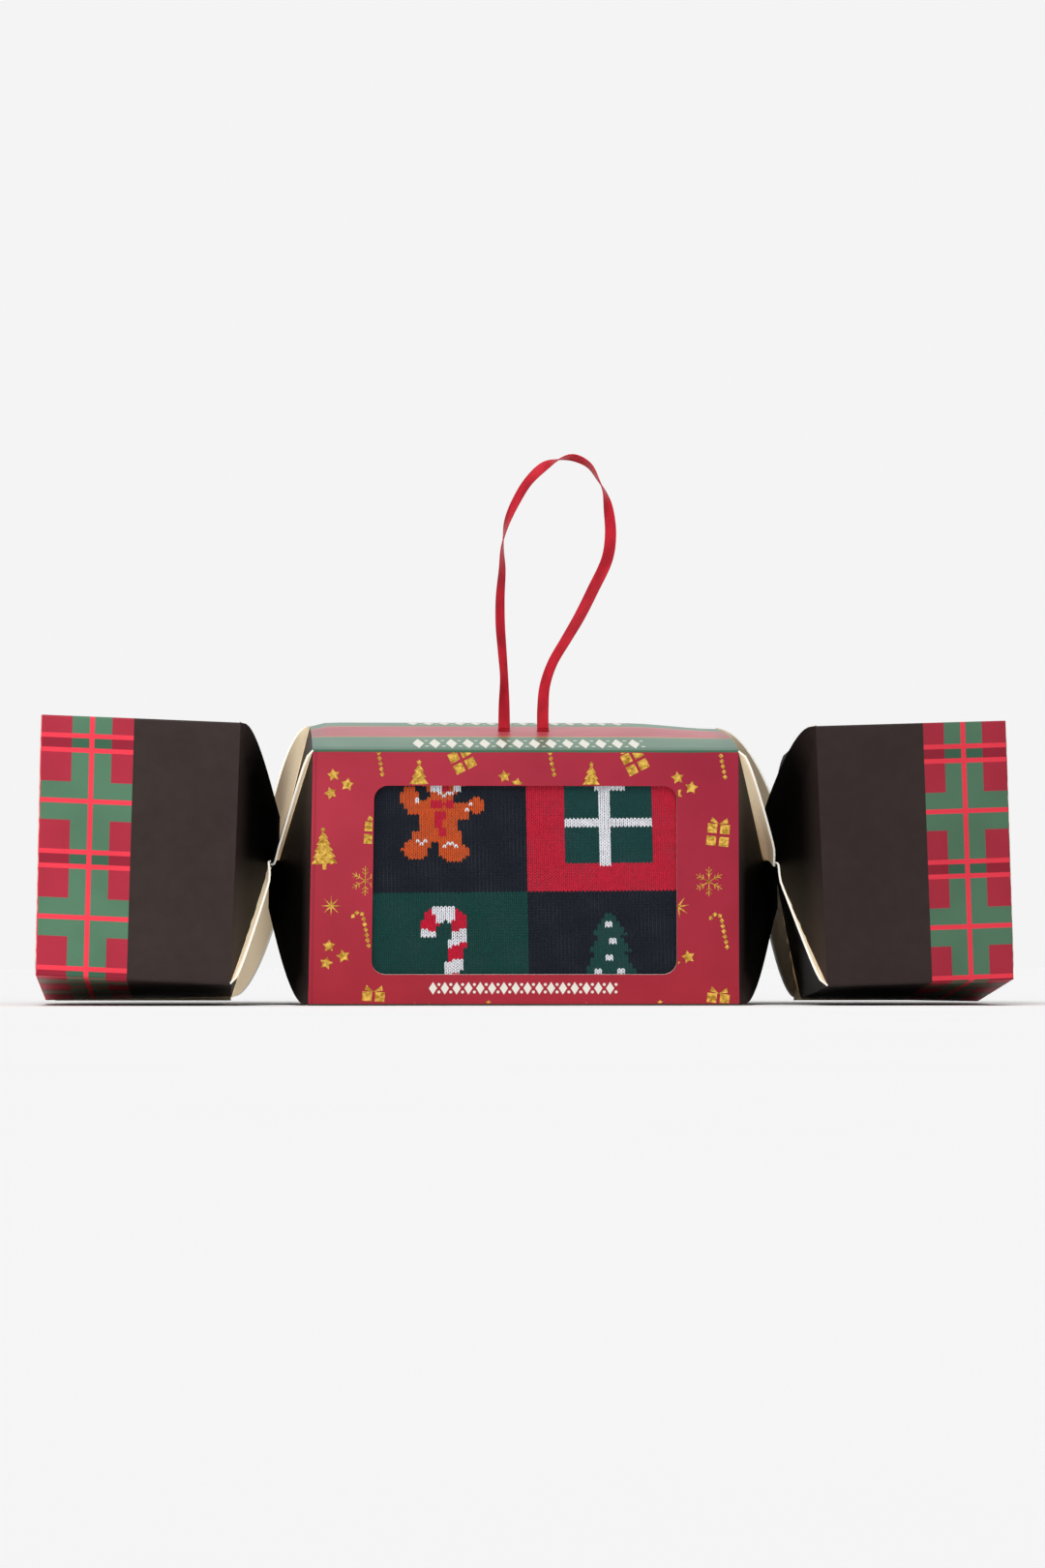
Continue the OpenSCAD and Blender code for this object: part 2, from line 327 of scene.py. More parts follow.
def knot_route():
    """A trefoil, which is a single overhand knot whose ends are joined."""
    size = KNOT_R / KNOT_SPAN
    points = []
    for t in (tau * k / KNOT_STEPS for k in range(KNOT_STEPS)):
        across, deep = sin(t) + 2 * sin(2 * t), cos(t) - 2 * cos(2 * t)
        points.append((size * across, size * deep * KNOT_FLAT, -size * sin(3 * t) * KNOT_RISE, 0))
    return points


def body_lifted(points):
    """Points of the middle box in the frame's axes, moved with the punched holes."""
    return [in_body(p[0] + HOLE_SHIFT, p[1], p[2]) for p in points]


def add_loop(satin):
    route = smooth_route([(x + HOLE_SHIFT, y, z, turn) for x, y, z, turn in LOOP_ROUTE])
    mesh = swept("ribbon_loop_satin", ribbon_rings(route))
    set_ribbon_blank(mesh, route)
    loop = add_piece(mesh, "hang_loop", [satin], ["ribbon_loop"], "red_satin")
    return loop, [Vector(point[:3]) * MM for point in route]


def add_tails(satin):
    verts = []
    faces = []
    blank = []
    sides = len(RIBBON_SECTION)
    for side in (-1, 1):
        route = smooth_route(tail_route(side))
        part = swept("tail", [body_lifted(ring) for ring in ribbon_rings(route)])
        first = len(verts)
        verts += [v.co / MM for v in part.vertices]
        faces += [tuple(first + i for i in p.vertices) for p in part.polygons]
        blank += [(i / 2, i % sides / sides, 0) for i in range(len(part.vertices))]
        bpy.data.meshes.remove(part)
    mesh = finished("ribbon_tail_ends", verts, faces, [0] * len(faces))
    set_blank(mesh, blank)
    return add_piece(mesh, "middle_box", [satin], ["ribbon_tails"], "red_satin")


def add_knot(satin):
    route = knot_route()
    rings = []
    for i, (x, y, z, _) in enumerate(route):
        way = heading(route[i - 1], route[(i + 1) % len(route)])
        wide = way.cross(Vector((0, 0, 1))).normalized()
        thick = way.cross(wide)
        ring = []
        for angle in (tau * k / KNOT_SIDES for k in range(KNOT_SIDES)):
            strand = wide * cos(angle) * KNOT_STRAND_WIDE + thick * sin(angle) * KNOT_STRAND_THICK
            ring.append(Vector((x, z, y + KNOT_HEIGHT)) + strand)
        rings.append(body_lifted(ring))
    mesh = swept("ribbon_overhand_knot", rings, closed=True)
    set_blank(mesh, [(i / 4, i % KNOT_SIDES / KNOT_SIDES, 0) for i in range(len(mesh.vertices))])
    return add_piece(mesh, "middle_box", [satin], ["ribbon_knot"], "red_satin")


def add_ribbon(satin):
    loop, path = add_loop(satin)
    tails = add_tails(satin)
    knot = add_knot(satin)


# Shader building


class Value:
    """A shader value, whose arithmetic makes math nodes."""

    def __init__(self, nodes, socket):
        self.nodes = nodes
        self.socket = socket

    def __add__(self, other):
        return self.nodes.math("ADD", self, other)

    def __sub__(self, other):
        return self.nodes.math("SUBTRACT", self, other)

    def __rsub__(self, other):
        return self.nodes.math("SUBTRACT", other, self)

    def __mul__(self, other):
        return self.nodes.math("MULTIPLY", self, other)

    def __truediv__(self, other):
        return self.nodes.math("DIVIDE", self, other)

    __radd__ = __add__
    __rmul__ = __mul__

    def abs(self):
        return self.nodes.math("ABSOLUTE", self)

    def over(self, other):
        """The larger of two values, which lays one mask over another."""
        return self.nodes.math("MAXIMUM", self, other)

    def rise(self, low, high):
        """From 0 at low to 1 at high, eased."""
        return self.nodes.ramp(self, low, high)

    def within(self, centre, half, soft):
        """1 near a centre and 0 beyond half a width from it, with a soft edge."""
        return 1 - (self - centre).abs().rise(half - soft / 2, half + soft / 2)

    def from_nearest(self, period):
        """Distance from the nearest multiple of a period."""
        return (self.nodes.math("WRAP", self, period / 2, -period / 2)).abs()


def rgb(red, green, blue):
    """A colour as a picture shows it, turned into light."""
    shares = (channel / 255 for channel in (red, green, blue))
    return tuple(s / 12.92 if s <= 0.04045 else ((s + 0.055) / 1.055) ** 2.4 for s in shares) + (1,)


class Nodes:
    """Makes the nodes and links of one shader tree."""

    def __init__(self, owner):
        owner.use_nodes = True
        self.tree = owner.node_tree
        self.tree.nodes.clear()

    def node(self, kind, settings=None, inputs=None):
        made = self.tree.nodes.new(kind)
        for key, value in (settings or {}).items():
            setattr(made, key, value)
        for key, value in (inputs or {}).items():
            self.feed(made.inputs[key], value)
        return made

    def feed(self, socket, value):
        if isinstance(value, Value):
            self.tree.links.new(value.socket, socket)
        else:
            socket.default_value = value

    def value(self, node, output=0):
        return Value(self, node.outputs[output])

    def math(self, operation, *values):
        inputs = dict(enumerate(values))
        return self.value(self.node("ShaderNodeMath", {"operation": operation}, inputs))

    def ramp(self, value, low, high, start=0, end=1):
        made = self.node("ShaderNodeMapRange", {"interpolation_type": "SMOOTHSTEP"}, {
            "Value": value, "From Min": low, "From Max": high, "To Min": start, "To Max": end,
        })
        return self.value(made)


class Finish(Nodes):
    """One material and the nodes in it."""

    def __init__(self, name, **constants):
        self.material = bpy.data.materials.new(name)
        super().__init__(self.material)
        self.surface = self.node("ShaderNodeBsdfPrincipled")
        self.node("ShaderNodeOutputMaterial", None, {0: self.value(self.surface)})
        for key, value in constants.items():
            self.surface.inputs[key.replace("_", " ")].default_value = value

    def mixed(self, factor, first, second, blend="MIX"):
        made = self.node("ShaderNodeMix", {"data_type": "RGBA", "blend_type": blend}, {
            0: factor, 6: first, 7: second,
        })
        return self.value(made, 2)

    def attribute(self, name, output="Vector"):
        return self.value(self.node("ShaderNodeAttribute", {"attribute_name": name}), output)

    def blank_place(self):
        """Place on the flat blank, in millimetres."""
        return self.attribute("blank")

    def parts(self, vector):
        made = self.node("ShaderNodeSeparateXYZ", None, {0: vector})
        return [self.value(made, k) for k in range(3)]

    def scaled(self, vector, scale):
        made = self.node("ShaderNodeVectorMath", {"operation": "MULTIPLY"}, {0: vector, 1: scale})
        return self.value(made)

    def object_place(self):
        """Place in the frame, in millimetres."""
        place = self.value(self.node("ShaderNodeTexCoord"), "Object")
        return self.scaled(place, (1 / MM, 1 / MM, 1 / MM))

    def noise(self, vector, scale, detail=2, roughness=0.5):
        made = self.node("ShaderNodeTexNoise", None, {
            "Vector": vector, "Scale": scale, "Detail": detail, "Roughness": roughness,
        })
        return self.value(made)

    def colour(self, value):
        self.feed(self.surface.inputs["Base Color"], value)

    def set(self, name, value):
        self.feed(self.surface.inputs[name], value)

    def bump(self, height, distance):
        """Surface relief, with the height in millimetres."""
        made = self.node("ShaderNodeBump", None, {"Height": height, "Distance": distance * MM})
        self.feed(self.surface.inputs["Normal"], self.value(made))

    def grained(self, body, grain, roughness, spread, relief):
        """A colour, with a roughness and a relief that follow the grain."""
        self.colour(body)
        self.set("Roughness", roughness + (grain - 0.5) * spread)
        self.bump(grain, relief)
        return self.material


# Printed board

FIBRE_SCALE = 3.2
FIBRE_LIGHT = 0.16
CLOUD_SCALE = 0.05
CLOUD_DARK = 0.12
WAVE_SCALE = 0.11
WAVE_SHARE = 4
PRINT_RELIEF = 0.02
CRIMSON = rgb(153, 38, 58)
CRIMSON_DEEP = rgb(160, 42, 56)
CRIMSON_LIT = rgb(174, 52, 68)
TOP_GREEN = rgb(68, 112, 88)
TOP_RED = rgb(172, 66, 76)
GOLD_INK = rgb(196, 156, 70)
GREEN = rgb(82, 122, 96)
GREEN_DEEP = rgb(60, 98, 76)
PLAID_RED = rgb(170, 46, 64)
PLAID_RED_DEEP = rgb(148, 36, 54)
LINE_RED = rgb(240, 62, 80)
BROWN = rgb(49, 40, 38)
BROWN_LIT = rgb(57, 47, 45)
BLACK_INK = rgb(11, 9, 8)
FOLD_HIGHLIGHT_REACH = 9
SPECK_SCALE = 3.5
SPECK_SOFT = 0.06
CREAM = rgb(243, 226, 194)
CREAM_DEEP = rgb(232, 208, 174)
# Painted light: how brightly the cream inside of the necks and their cut edges shine, and from where to where
# along the blank that light fades
NECK_PAINTED_GLOW = 0.55
EDGE_PAINTED_GLOW = 0.4
PAINTED_GLOW_FADE = (8, 27)
WHITE_CUT = rgb(232, 228, 220)
# How far the top panel's green comes over the front's upper fold, and the dark line at its lower fold
WRAP = 0.6
LOWER_LINE = 0.35
FRONT_CREASE_IN = 0.9
# Shares of the top panel's depth: half of the red band, half of each gold line and the front fold's shade
RED_HALF = 0.19
GOLD_HALF = 0.006
FOLD_SHADE = 0.06
CORNER_SHADE = 5


def print_finish(name, colour_of, roughness=0.45, specular=0.1):
    """Board with a coloured print that colour_of makes from the place on the blank."""
    finish = Finish(name, Specular_IOR_Level=specular)
    place = finish.blank_place()
    u, v, _ = finish.parts(place)
    colour = colour_of(finish, place, u, v)
    fibres = finish.noise(place, FIBRE_SCALE, 4, 0.6)
    cloud = finish.noise(place, CLOUD_SCALE, 2)
    shade = finish.mixed(fibres * FIBRE_LIGHT, colour, rgb(255, 240, 235), "SOFT_LIGHT")
    shadow = cloud.rise(0.35, 0.7) * CLOUD_DARK
    finish.colour(finish.mixed(shadow, shade, rgb(90, 30, 30), "MULTIPLY"))
    finish.set("Roughness", roughness + (fibres - 0.5) * 0.14 + (cloud - 0.5) * 0.08)
    finish.bump(fibres * 0.3 + finish.noise(place, WAVE_SCALE, 2) * WAVE_SHARE, PRINT_RELIEF)
    return finish.material


def crimson_print(finish, place, u, v):
    half = BODY_W / 2
    # Painted light: the panel is lighter towards its left end, where the light comes from, and it turns
    # darker towards the bottom.
    side = finish.mixed(u / BODY_LEN + 0.5, CRIMSON_LIT, CRIMSON)
    body = finish.mixed((v / BODY_W + 0.5).rise(0.7, 0), side, CRIMSON_DEEP)
    wobble = (finish.noise(place, 0.08, 1) - 0.5) * 0.5
    wrapped = (v + wobble).rise(half - WRAP - 0.1, half - WRAP + 0.1)
    body = finish.mixed(wrapped, body, GREEN_DEEP)
    line = v.rise(-half + LOWER_LINE + 0.1, -half + LOWER_LINE - 0.1)
    body = finish.mixed(line, body, rgb(30, 62, 48))
    # Painted shade: a darker line along the crease near the left end.
    crease = u.within(-BODY_LEN / 2 + FRONT_CREASE_IN, 0.25, 0.3)
    return finish.mixed(crease * 0.35, body, rgb(110, 28, 42))


def banded_print(finish, place, u, v):
    share = v / BODY_W + 0.5
    red = share.within(0.5, RED_HALF, 0.006)
    body = finish.mixed(red, TOP_GREEN, TOP_RED)
    gold = (share - 0.5).abs().within(RED_HALF, GOLD_HALF, 0.004)
    body = finish.mixed(gold, body, GOLD_INK)
    front = share.rise(FOLD_SHADE + 0.01, FOLD_SHADE - 0.01)
    body = finish.mixed(front * 0.6, body, rgb(40, 84, 62))
    corner = u.abs().rise(BODY_LEN / 2 - CORNER_SHADE, BODY_LEN / 2 - 1)
    return finish.mixed(corner * 0.3, body, rgb(30, 80, 74))


def green_print(finish, place, u, v):
    return finish.mixed(finish.noise(place, 0.2, 3), GREEN_DEEP, rgb(50, 88, 68))


def specked(finish, place, body, start, share, tint):
    """A dark print with a few pale specks."""
    specks = finish.noise(place, SPECK_SCALE, 3, 0.7).rise(start, start + SPECK_SOFT)
    return finish.mixed(specks * share, body, tint)


PLAID_PERIOD = 29.4
PLAID_BAND = 4.85
PLAID_LINE = 0.6
PLAID_PAIR = PLAID_PERIOD / 2 - 1.83
PLAID_SOFT = 0.18
PLAID_END = 10.1
# Painted shade: the right end is printed a little darker than the left one, as it stands less in the light
SHADE_FROM, SHADE_TO = -90, 90


def plaid_print(finish, place, u, v):
    """Plaid up to PLAID_END, which U passes at the brown band that runs on to the neck."""
    along = u.from_nearest(PLAID_PERIOD)
    across = v.from_nearest(PLAID_PERIOD)
    green = along.within(0, PLAID_BAND, PLAID_SOFT).over(across.within(0, PLAID_BAND, PLAID_SOFT))
    between = along.rise(PLAID_PAIR - PLAID_SOFT, PLAID_PAIR)
    between = between.over(across.rise(PLAID_PAIR - PLAID_SOFT, PLAID_PAIR))
    red = finish.mixed(between, PLAID_RED, PLAID_RED_DEEP)
    body = finish.mixed(green, red, finish.mixed(between, GREEN, GREEN_DEEP))
    stripes = along.within(0, PLAID_LINE, PLAID_SOFT).over(across.within(0, PLAID_LINE, PLAID_SOFT))
    for distance in (along, across):
        stripes = stripes.over(distance.within(PLAID_PAIR, PLAID_LINE, PLAID_SOFT))
    body = finish.mixed(stripes, body, LINE_RED)
    dark = finish.mixed(finish.noise(place, 0.3, 2), BROWN, BROWN_LIT)
    dark = specked(finish, place, dark, 0.68, 0.35, rgb(150, 140, 130))
    whole = finish.mixed(u.rise(PLAID_END - 0.05, PLAID_END + 0.05), body, dark)
    # Painted shade on the right end box.
    right = finish.parts(finish.object_place())[0].rise(SHADE_FROM, SHADE_TO)
    return finish.mixed(right * 0.8, whole, rgb(214, 208, 210), "MULTIPLY")


def black_print(finish, place, u, v):
    """Black on a gusset, with a painted highlight that turns it browner near the box's fold, which is at U =
    0.
    """
    near = u.rise(FOLD_HIGHLIGHT_REACH, 0)
    body = finish.mixed(near, BLACK_INK, BROWN)
    return specked(finish, place, body, 0.7, near * 0.3, rgb(140, 130, 120))


def bare_board(name, placed_by=Finish.blank_place, painted_glow=0):
    """Uncoated cream board. Where it is given painted light, it shines by itself, brighter near the fold and
    darker and browner further along, to light the shaded insides of the necks.
    """
    finish = Finish(name, Specular_IOR_Level=0.1, Emission_Strength=painted_glow)
    place = placed_by(finish)
    grain = finish.noise(place, 0.9, 5, 0.65)
    flecks = finish.noise(place, 2.6, 3, 0.6).rise(0.62, 0.75)
    body = finish.mixed(flecks * 0.3, finish.mixed(grain, CREAM, CREAM_DEEP), rgb(190, 160, 118))
    if painted_glow:
        far = finish.parts(place)[0].rise(*PAINTED_GLOW_FADE)
        finish.set("Emission Color", finish.mixed(far * 0.8, body, rgb(84, 58, 42)))
    return finish.grained(body, grain, 0.8, 0.2, 0.03)


def cut_edge(name, painted_glow=0):
    """The white core of the board, in layers along a cut, which shines by itself as painted light where that
    is given.
    """
    finish = Finish(name, Specular_IOR_Level=0.1, Emission_Strength=painted_glow)
    grain = finish.noise(finish.scaled(finish.blank_place(), (1, 1, 12)), 1.5, 4, 0.6)
    body = finish.mixed(grain, WHITE_CUT, rgb(216, 210, 196))
    if painted_glow:
        finish.set("Emission Color", body)
    return finish.grained(body, grain, 0.85, 0.2, 0.05)


def gold_foil():
    finish = Finish("gold_foil", Specular_IOR_Level=0.5)
    place = finish.blank_place()
    # Painted highlight: patches of bright and dark gold stand in for the foil's glint, and the same patches
    # make it a little more metallic.
    painted_glints = finish.noise(place, 0.8, 4, 0.7)
    grain = finish.noise(place, 5, 3)
    body = finish.mixed(painted_glints.rise(0.35, 0.65), rgb(158, 112, 18), rgb(248, 204, 92))
    finish.colour(finish.mixed(grain.rise(0.45, 0.7) * 0.3, body, rgb(120, 78, 20)))
    finish.set("Metallic", 0.55 + painted_glints * 0.2)
    finish.set("Roughness", 0.32 + grain * 0.2)
    finish.bump(grain, 0.02)
    return finish.material


def white_ink():
    finish = Finish("white_ink", Specular_IOR_Level=0.4)
    grain = finish.noise(finish.blank_place(), 1.6, 4, 0.6)
    body = finish.mixed(grain, rgb(238, 236, 226), rgb(214, 210, 198))
    return finish.grained(body, grain, 0.5, 0.2, 0.01)


def red_satin():
    """Satin with fine lines across the ribbon."""
    finish = Finish("red_satin", Specular_IOR_Level=0.2, Sheen_Weight=0.05, Sheen_Roughness=0.4)
    place = finish.blank_place()
    lines = finish.noise(finish.scaled(place, (9, 1.5, 1)), 1, 3, 0.6)
    # Painted sheen and shade: the satin turns lighter and darker in long patches along the ribbon, as where
    # it twists and folds.
    folds = finish.noise(finish.scaled(place, (0.12, 2.5, 1)), 1, 2)
    body = finish.mixed(folds.rise(0.3, 0.7), rgb(164, 14, 32), rgb(206, 28, 48))
    finish.colour(finish.mixed(lines * 0.3, body, rgb(122, 8, 24)))
    finish.set("Roughness", 0.34 + lines * 0.16)
    finish.bump(lines, 0.04)
    return finish.material


def yarn():
    """Knitted cotton, in the colour that each stitch carries."""
    finish = Finish("knit_yarn", Specular_IOR_Level=0.04, Sheen_Weight=0.04, Sheen_Roughness=0.6)
    place = finish.object_place()
    fibre = finish.noise(finish.scaled(place, (6, 6, 2.5)), 1, 4, 0.65)
    patch = finish.noise(place, 0.8, 2)
    colour = finish.attribute("yarn", "Color")
    body = finish.mixed(fibre.rise(0.3, 0.75) * 0.35, colour, rgb(200, 200, 205), "SOFT_LIGHT")
    body = finish.mixed(patch * 0.3, body, rgb(120, 115, 120), "MULTIPLY")
    return finish.grained(body, fibre, 0.85, 0.2, 0.08)


def plain_knit(name, dark, light):
    """Small stocking stitches worked into the surface, for the parts of the socks that lie inside."""
    finish = Finish(name, Specular_IOR_Level=0.2, Sheen_Weight=0.3, Sheen_Roughness=0.6)
    place = finish.object_place()
    x, _, z = finish.parts(place)
    wale = x / WALE * tau
    course = z / COURSE * tau
    lean = finish.math("SINE", wale * 0.5).abs() * 1.6
    loops = finish.math("SINE", course + lean) * 0.5 + 0.5
    ribs = finish.math("COSINE", wale) * 0.5 + 0.5
    fuzz = finish.noise(place, 4, 3)
    height = loops * 0.6 + ribs * 0.4
    # Painted shade: the loops are painted lighter where they stand high and darker in the grooves between
    # them.
    finish.colour(finish.mixed(height * 0.8 + fuzz * 0.2, dark, light))
    finish.set("Roughness", 0.85 + (fuzz - 0.5) * 0.2)
    finish.bump(height + fuzz * 0.2, 0.12)
    return finish.material


def card_stock():
    finish = Finish("card_stock", Specular_IOR_Level=0.3)
    grain = finish.noise(finish.object_place(), 1.2, 5, 0.6)
    body = finish.mixed(grain, rgb(222, 216, 204), rgb(196, 188, 172))
    return finish.grained(body, grain, 0.75, 0.2, 0.03)


add_ribbon(red_satin())

CREAM_SIDE = bare_board("bare_board")
EDGE = cut_edge("cut_edge")
CRIMSON_BOARD = [print_finish("crimson_print", crimson_print), CREAM_SIDE, EDGE]
BANDED_BOARD = [print_finish("banded_print", banded_print, 0.36, 0.45), CREAM_SIDE, EDGE]
GREEN_BOARD = [print_finish("green_print", green_print), CREAM_SIDE, EDGE]
PLAID_BOARD = [print_finish("plaid_print", plaid_print), CREAM_SIDE, EDGE]
BLACK = print_finish("black_print", black_print, 0.5, 0.05)
# Painted light: the lit copy's cream inside and cut edge shine by themselves; the shaded copy is the plain
# board.
LIT_NECK_BOARD = [BLACK, bare_board("lit_neck_board", painted_glow=NECK_PAINTED_GLOW), cut_edge("lit_edge", EDGE_PAINTED_GLOW)]
SHADED_NECK_BOARD = [BLACK, CREAM_SIDE, EDGE]
GOLD = gold_foil()
WHITE = white_ink()

# Boards

GRID = 4
NEAR = 0.12


def lines(low, high, step=GRID):
    count = max(1, round((high - low) / step))
    return [mix(low, high, i / count) for i in range(count + 1)]


def fold_lines(low, high, first=True, last=True):
    """Grid lines with extra ones where the board bends at a rounded fold."""
    bend = [FOLD_R * i / FOLD_STEPS for i in range(FOLD_STEPS)]
    start = [low + b for b in bend] if first else []
    end = [high - b for b in reversed(bend)] if last else []
    return start + lines(low + FOLD_R * first, high - FOLD_R * last) + end


def inside(point, loop):
    u, v = point
    crossed = False
    for (a, b), (c, d) in zip(loop, loop[1:] + loop[:1]):
        if (b > v) != (d > v) and u < a + (c - a) * (v - b) / (d - b):
            crossed = not crossed
    return crossed


def near_edge(point, loop):
    u, v = point
    for (a, b), (c, d) in zip(loop, loop[1:] + loop[:1]):
        length = (c - a) ** 2 + (d - b) ** 2
        share = min(max(((u - a) * (c - a) + (v - b) * (d - b)) / length, 0), 1) if length else 0
        if hypot(a + share * (c - a) - u, b + share * (d - b) - v) < NEAR:
            return True
    return False


def filled(outline, holes=(), columns=(), rows=()):
    """Points and triangles of a flat sheet, with inner points where columns and rows cross."""
    loops = [outline, *holes]
    points = []
    edges = []
    for loop in loops:
        first = len(points)
        points += loop
        edges += [(first + i, first + (i + 1) % len(loop)) for i in range(len(loop))]
    for point in ((u, v) for u in columns for v in rows):
        free = inside(point, outline) and not any(inside(point, hole) for hole in holes)
        if free and not any(near_edge(point, loop) for loop in loops):
            points.append(point)
    made = delaunay_2d_cdt([Vector(p) for p in points], edges, [], 0, 1e-6)
    verts, faces = [tuple(v) for v in made[0]], made[2]
    kept = []
    for face in faces:
        middle = tuple(sum(verts[i][k] for i in face) / 3 for k in (0, 1))
        if inside(middle, outline) and not any(inside(middle, hole) for hole in holes):
            kept.append(face)
    return verts, kept


def rectangle(columns, rows):
    """Outline of a grid, with a point at each of its lines."""
    low = [(u, rows[0]) for u in columns[:-1]]
    right = [(columns[-1], v) for v in rows[:-1]]
    high = [(u, rows[-1]) for u in columns[:0:-1]]
    left = [(columns[0], v) for v in rows[:0:-1]]
    return low + right + high + left


def rounded_rectangle(left, right, low, high, radius, steps=8):
    loop = []
    for u, v, quarter in ((right, high, 0), (left, high, 1), (left, low, 2), (right, low, 3)):
        centre_u = u - copysign(radius, u - left - radius)
        centre_v = v - copysign(radius, v - low - radius)
        for k in range(steps + 1):
            angle = pi / 2 * (quarter + k / steps)
            loop.append((centre_u + radius * cos(angle), centre_v + radius * sin(angle)))
    return loop


def circle(u, v, radius, steps=24):
    return [(u + radius * cos(tau * k / steps), v + radius * sin(tau * k / steps)) for k in range(steps)]


def board_mesh(name, sheet, place, printed=lambda u, v: (u, v), above=0, below=BOARD, cut=lambda a, b: True):
    """A closed board from a flat sheet, with material 0 outside, 1 inside and 2 on its cut edges.

    Edges that are folds, and not cut, keep the outside's print."""
    flat, faces = sheet
    count = len(flat)
    verts = [place(u, v, depth) for depth in (-above, below) for u, v in flat]
    outer = [tuple(face) for face in faces]
    inner = [tuple(i + count for i in reversed(face)) for face in faces]
    used = {(a, b) for face in outer for a, b in zip(face, face[1:] + face[:1])}
    rims = [(b, a, a + count, b + count) for a, b in used if (b, a) not in used]
    rims.sort()
    slots = [0] * len(outer) + [1] * len(inner)
    slots += [2 if cut(flat[a], flat[b]) else 0 for b, a, _, _ in rims]
    mesh = finished(name, verts, outer + inner + rims, slots)
    set_blank(mesh, [(*printed(u, v), depth) for depth in (0, below) for u, v in flat])
    return mesh


def fold_section(across, width):
    """Place and outward direction on a square tube's wall, with rounded folds at its edges."""
    flat = width / 2 - FOLD_R
    if abs(across) <= flat:
        return across, width / 2, 0, 1
    turn = (abs(across) - flat) / FOLD_R * pi / 4
    side = copysign(1, across)
    return side * (flat + FOLD_R * sin(turn)), flat + FOLD_R * cos(turn), side * sin(turn), cos(turn)


def body_wall(face):
    def place(x, across, depth):
        side, out, side_way, out_way = fold_section(across, BODY_W)
        if face == "top":
            out += CROWN * (1 - (2 * across / BODY_W) ** 2)
        return in_body(*on_face(face, x, side - depth * side_way, out - depth * out_way))
    return place


def end_wall(side, face):
    """Place on an end panel, which turns into a rounded fold at its outer end."""
    length = END_PANEL_LEN[face]

    def place(x, across, depth):
        at, out, side_way, out_way = fold_section(across, END_W)
        turn = max(x - length + FOLD_R, 0) / FOLD_R * pi / 4
        reach = min(x, length - FOLD_R) + (FOLD_R - depth) * sin(turn)
        drop = (FOLD_R - depth) * (1 - cos(turn)) + depth
        return in_end(side, *on_face(face, reach, at - drop * side_way, out - drop * out_way))
    return place


SIDE_PANEL_LEN = END_LEN - 0.1
END_PANEL_LEN = {"top": END_LEN, "front": SIDE_PANEL_LEN, "bottom": END_LEN, "back": SIDE_PANEL_LEN}
# Where the plaid's single lines fall: distance from the outer end, and height on the front panel
LINE_FROM_END = {"left": 12.6, "right": 11.2}
LINE_HEIGHT = {"left": 11.4, "right": 10.2}


def body_blank(face):
    columns = lines(-BODY_LEN / 2, BODY_LEN / 2)
    rows = fold_lines(-BODY_W / 2, BODY_W / 2)
    holes = []
    if face == "front":
        end = BODY_LEN / 2 - WINDOW_END
        low, high = -BODY_W / 2 + WINDOW_RISE, BODY_W / 2 - WINDOW_DROP
        holes = [rounded_rectangle(-end, end, low, high, WINDOW_R)]
    if face == "top":
        holes = [circle(HOLE_SHIFT + s * HOLE_PITCH / 2, 0, HOLE_R) for s in (-1, 1)]
    return filled(rectangle(columns, rows), holes, columns[1:-1], rows[1:-1])


def on_window(point):
    """Whether a point of the front panel's edges is on the window and not on a fold."""
    return abs(point[0]) < BODY_LEN / 2 - 1 and abs(point[1]) < BODY_W / 2 - 1


def add_body_panels():
    boards = {
        "front": (CRIMSON_BOARD, "crimson_print"), "top": (BANDED_BOARD, "banded_print"),
        "back": (CRIMSON_BOARD, "crimson_print"), "bottom": (GREEN_BOARD, "green_print"),
    }
    for face, (materials, slot) in boards.items():
        mesh = board_mesh(
            f"body_{face}_board", body_blank(face), body_wall(face),
            cut=lambda a, b: face == "front" and on_window(a),
        )
        add_piece(mesh, "middle_box", materials, [f"body_{face}_panel"], slot)


def plaid_at(side, face):
    """Turns a place on an end panel into a place on the plaid, which runs on round the box."""
    turned = END_W * (1 - FACES.index(face))

    def printed(x, across):
        return END_LEN - x - LINE_FROM_END[side], across + turned - LINE_HEIGHT[side]
    return printed


def add_end_panels():
    for side in SIDES:
        for face in FACES:
            columns = fold_lines(0, END_PANEL_LEN[face], first=False)
            rows = fold_lines(-END_W / 2, END_W / 2)
            sheet = filled(rectangle(columns, rows), (), columns[1:-1], rows[1:-1])
            mesh = board_mesh(
                f"{side}_end_{face}_board", sheet, end_wall(side, face), plaid_at(side, face),
                cut=lambda a, b: False,
            )
            add_piece(mesh, f"{side}_end_box", PLAID_BOARD, [f"{side}_end_panel_{face}"], "plaid_print")


# End closures

LID_GAP = 0.8
LID_DROP = END_W - BOARD - PLAY
LID_EDGE = LID_DROP - BOARD * (1 / cos(LIP_LEAN) + tan(LIP_LEAN)) - PLAY
LID_CORNER = 4
# The lid's fold stands this far off the side panels' ends, and its edge stops this much short of the lip
LID_HAIR = 0.04
LIP_GAP = {"left": 0, "right": 0.5}
DUST_FACE = END_LEN - BOARD - PLAY
DUST_RAMP = 1.2
DUST_CORNER = 3
LIP_CORNER = 3


def lid_place(side):
    """Down over the end from the top panel's fold: V is the distance from that fold."""
    def place(y, down, depth):
        turn = pi / 4 + min(down / FOLD_R, 1) * pi / 4
        reach = END_LEN + LID_HAIR - FOLD_R + (FOLD_R - depth) * sin(turn)
        high = END_W / 2 - FOLD_R + (FOLD_R - depth) * cos(turn) - max(down - FOLD_R, 0)
        return in_end(side, reach, y, high)
    return place


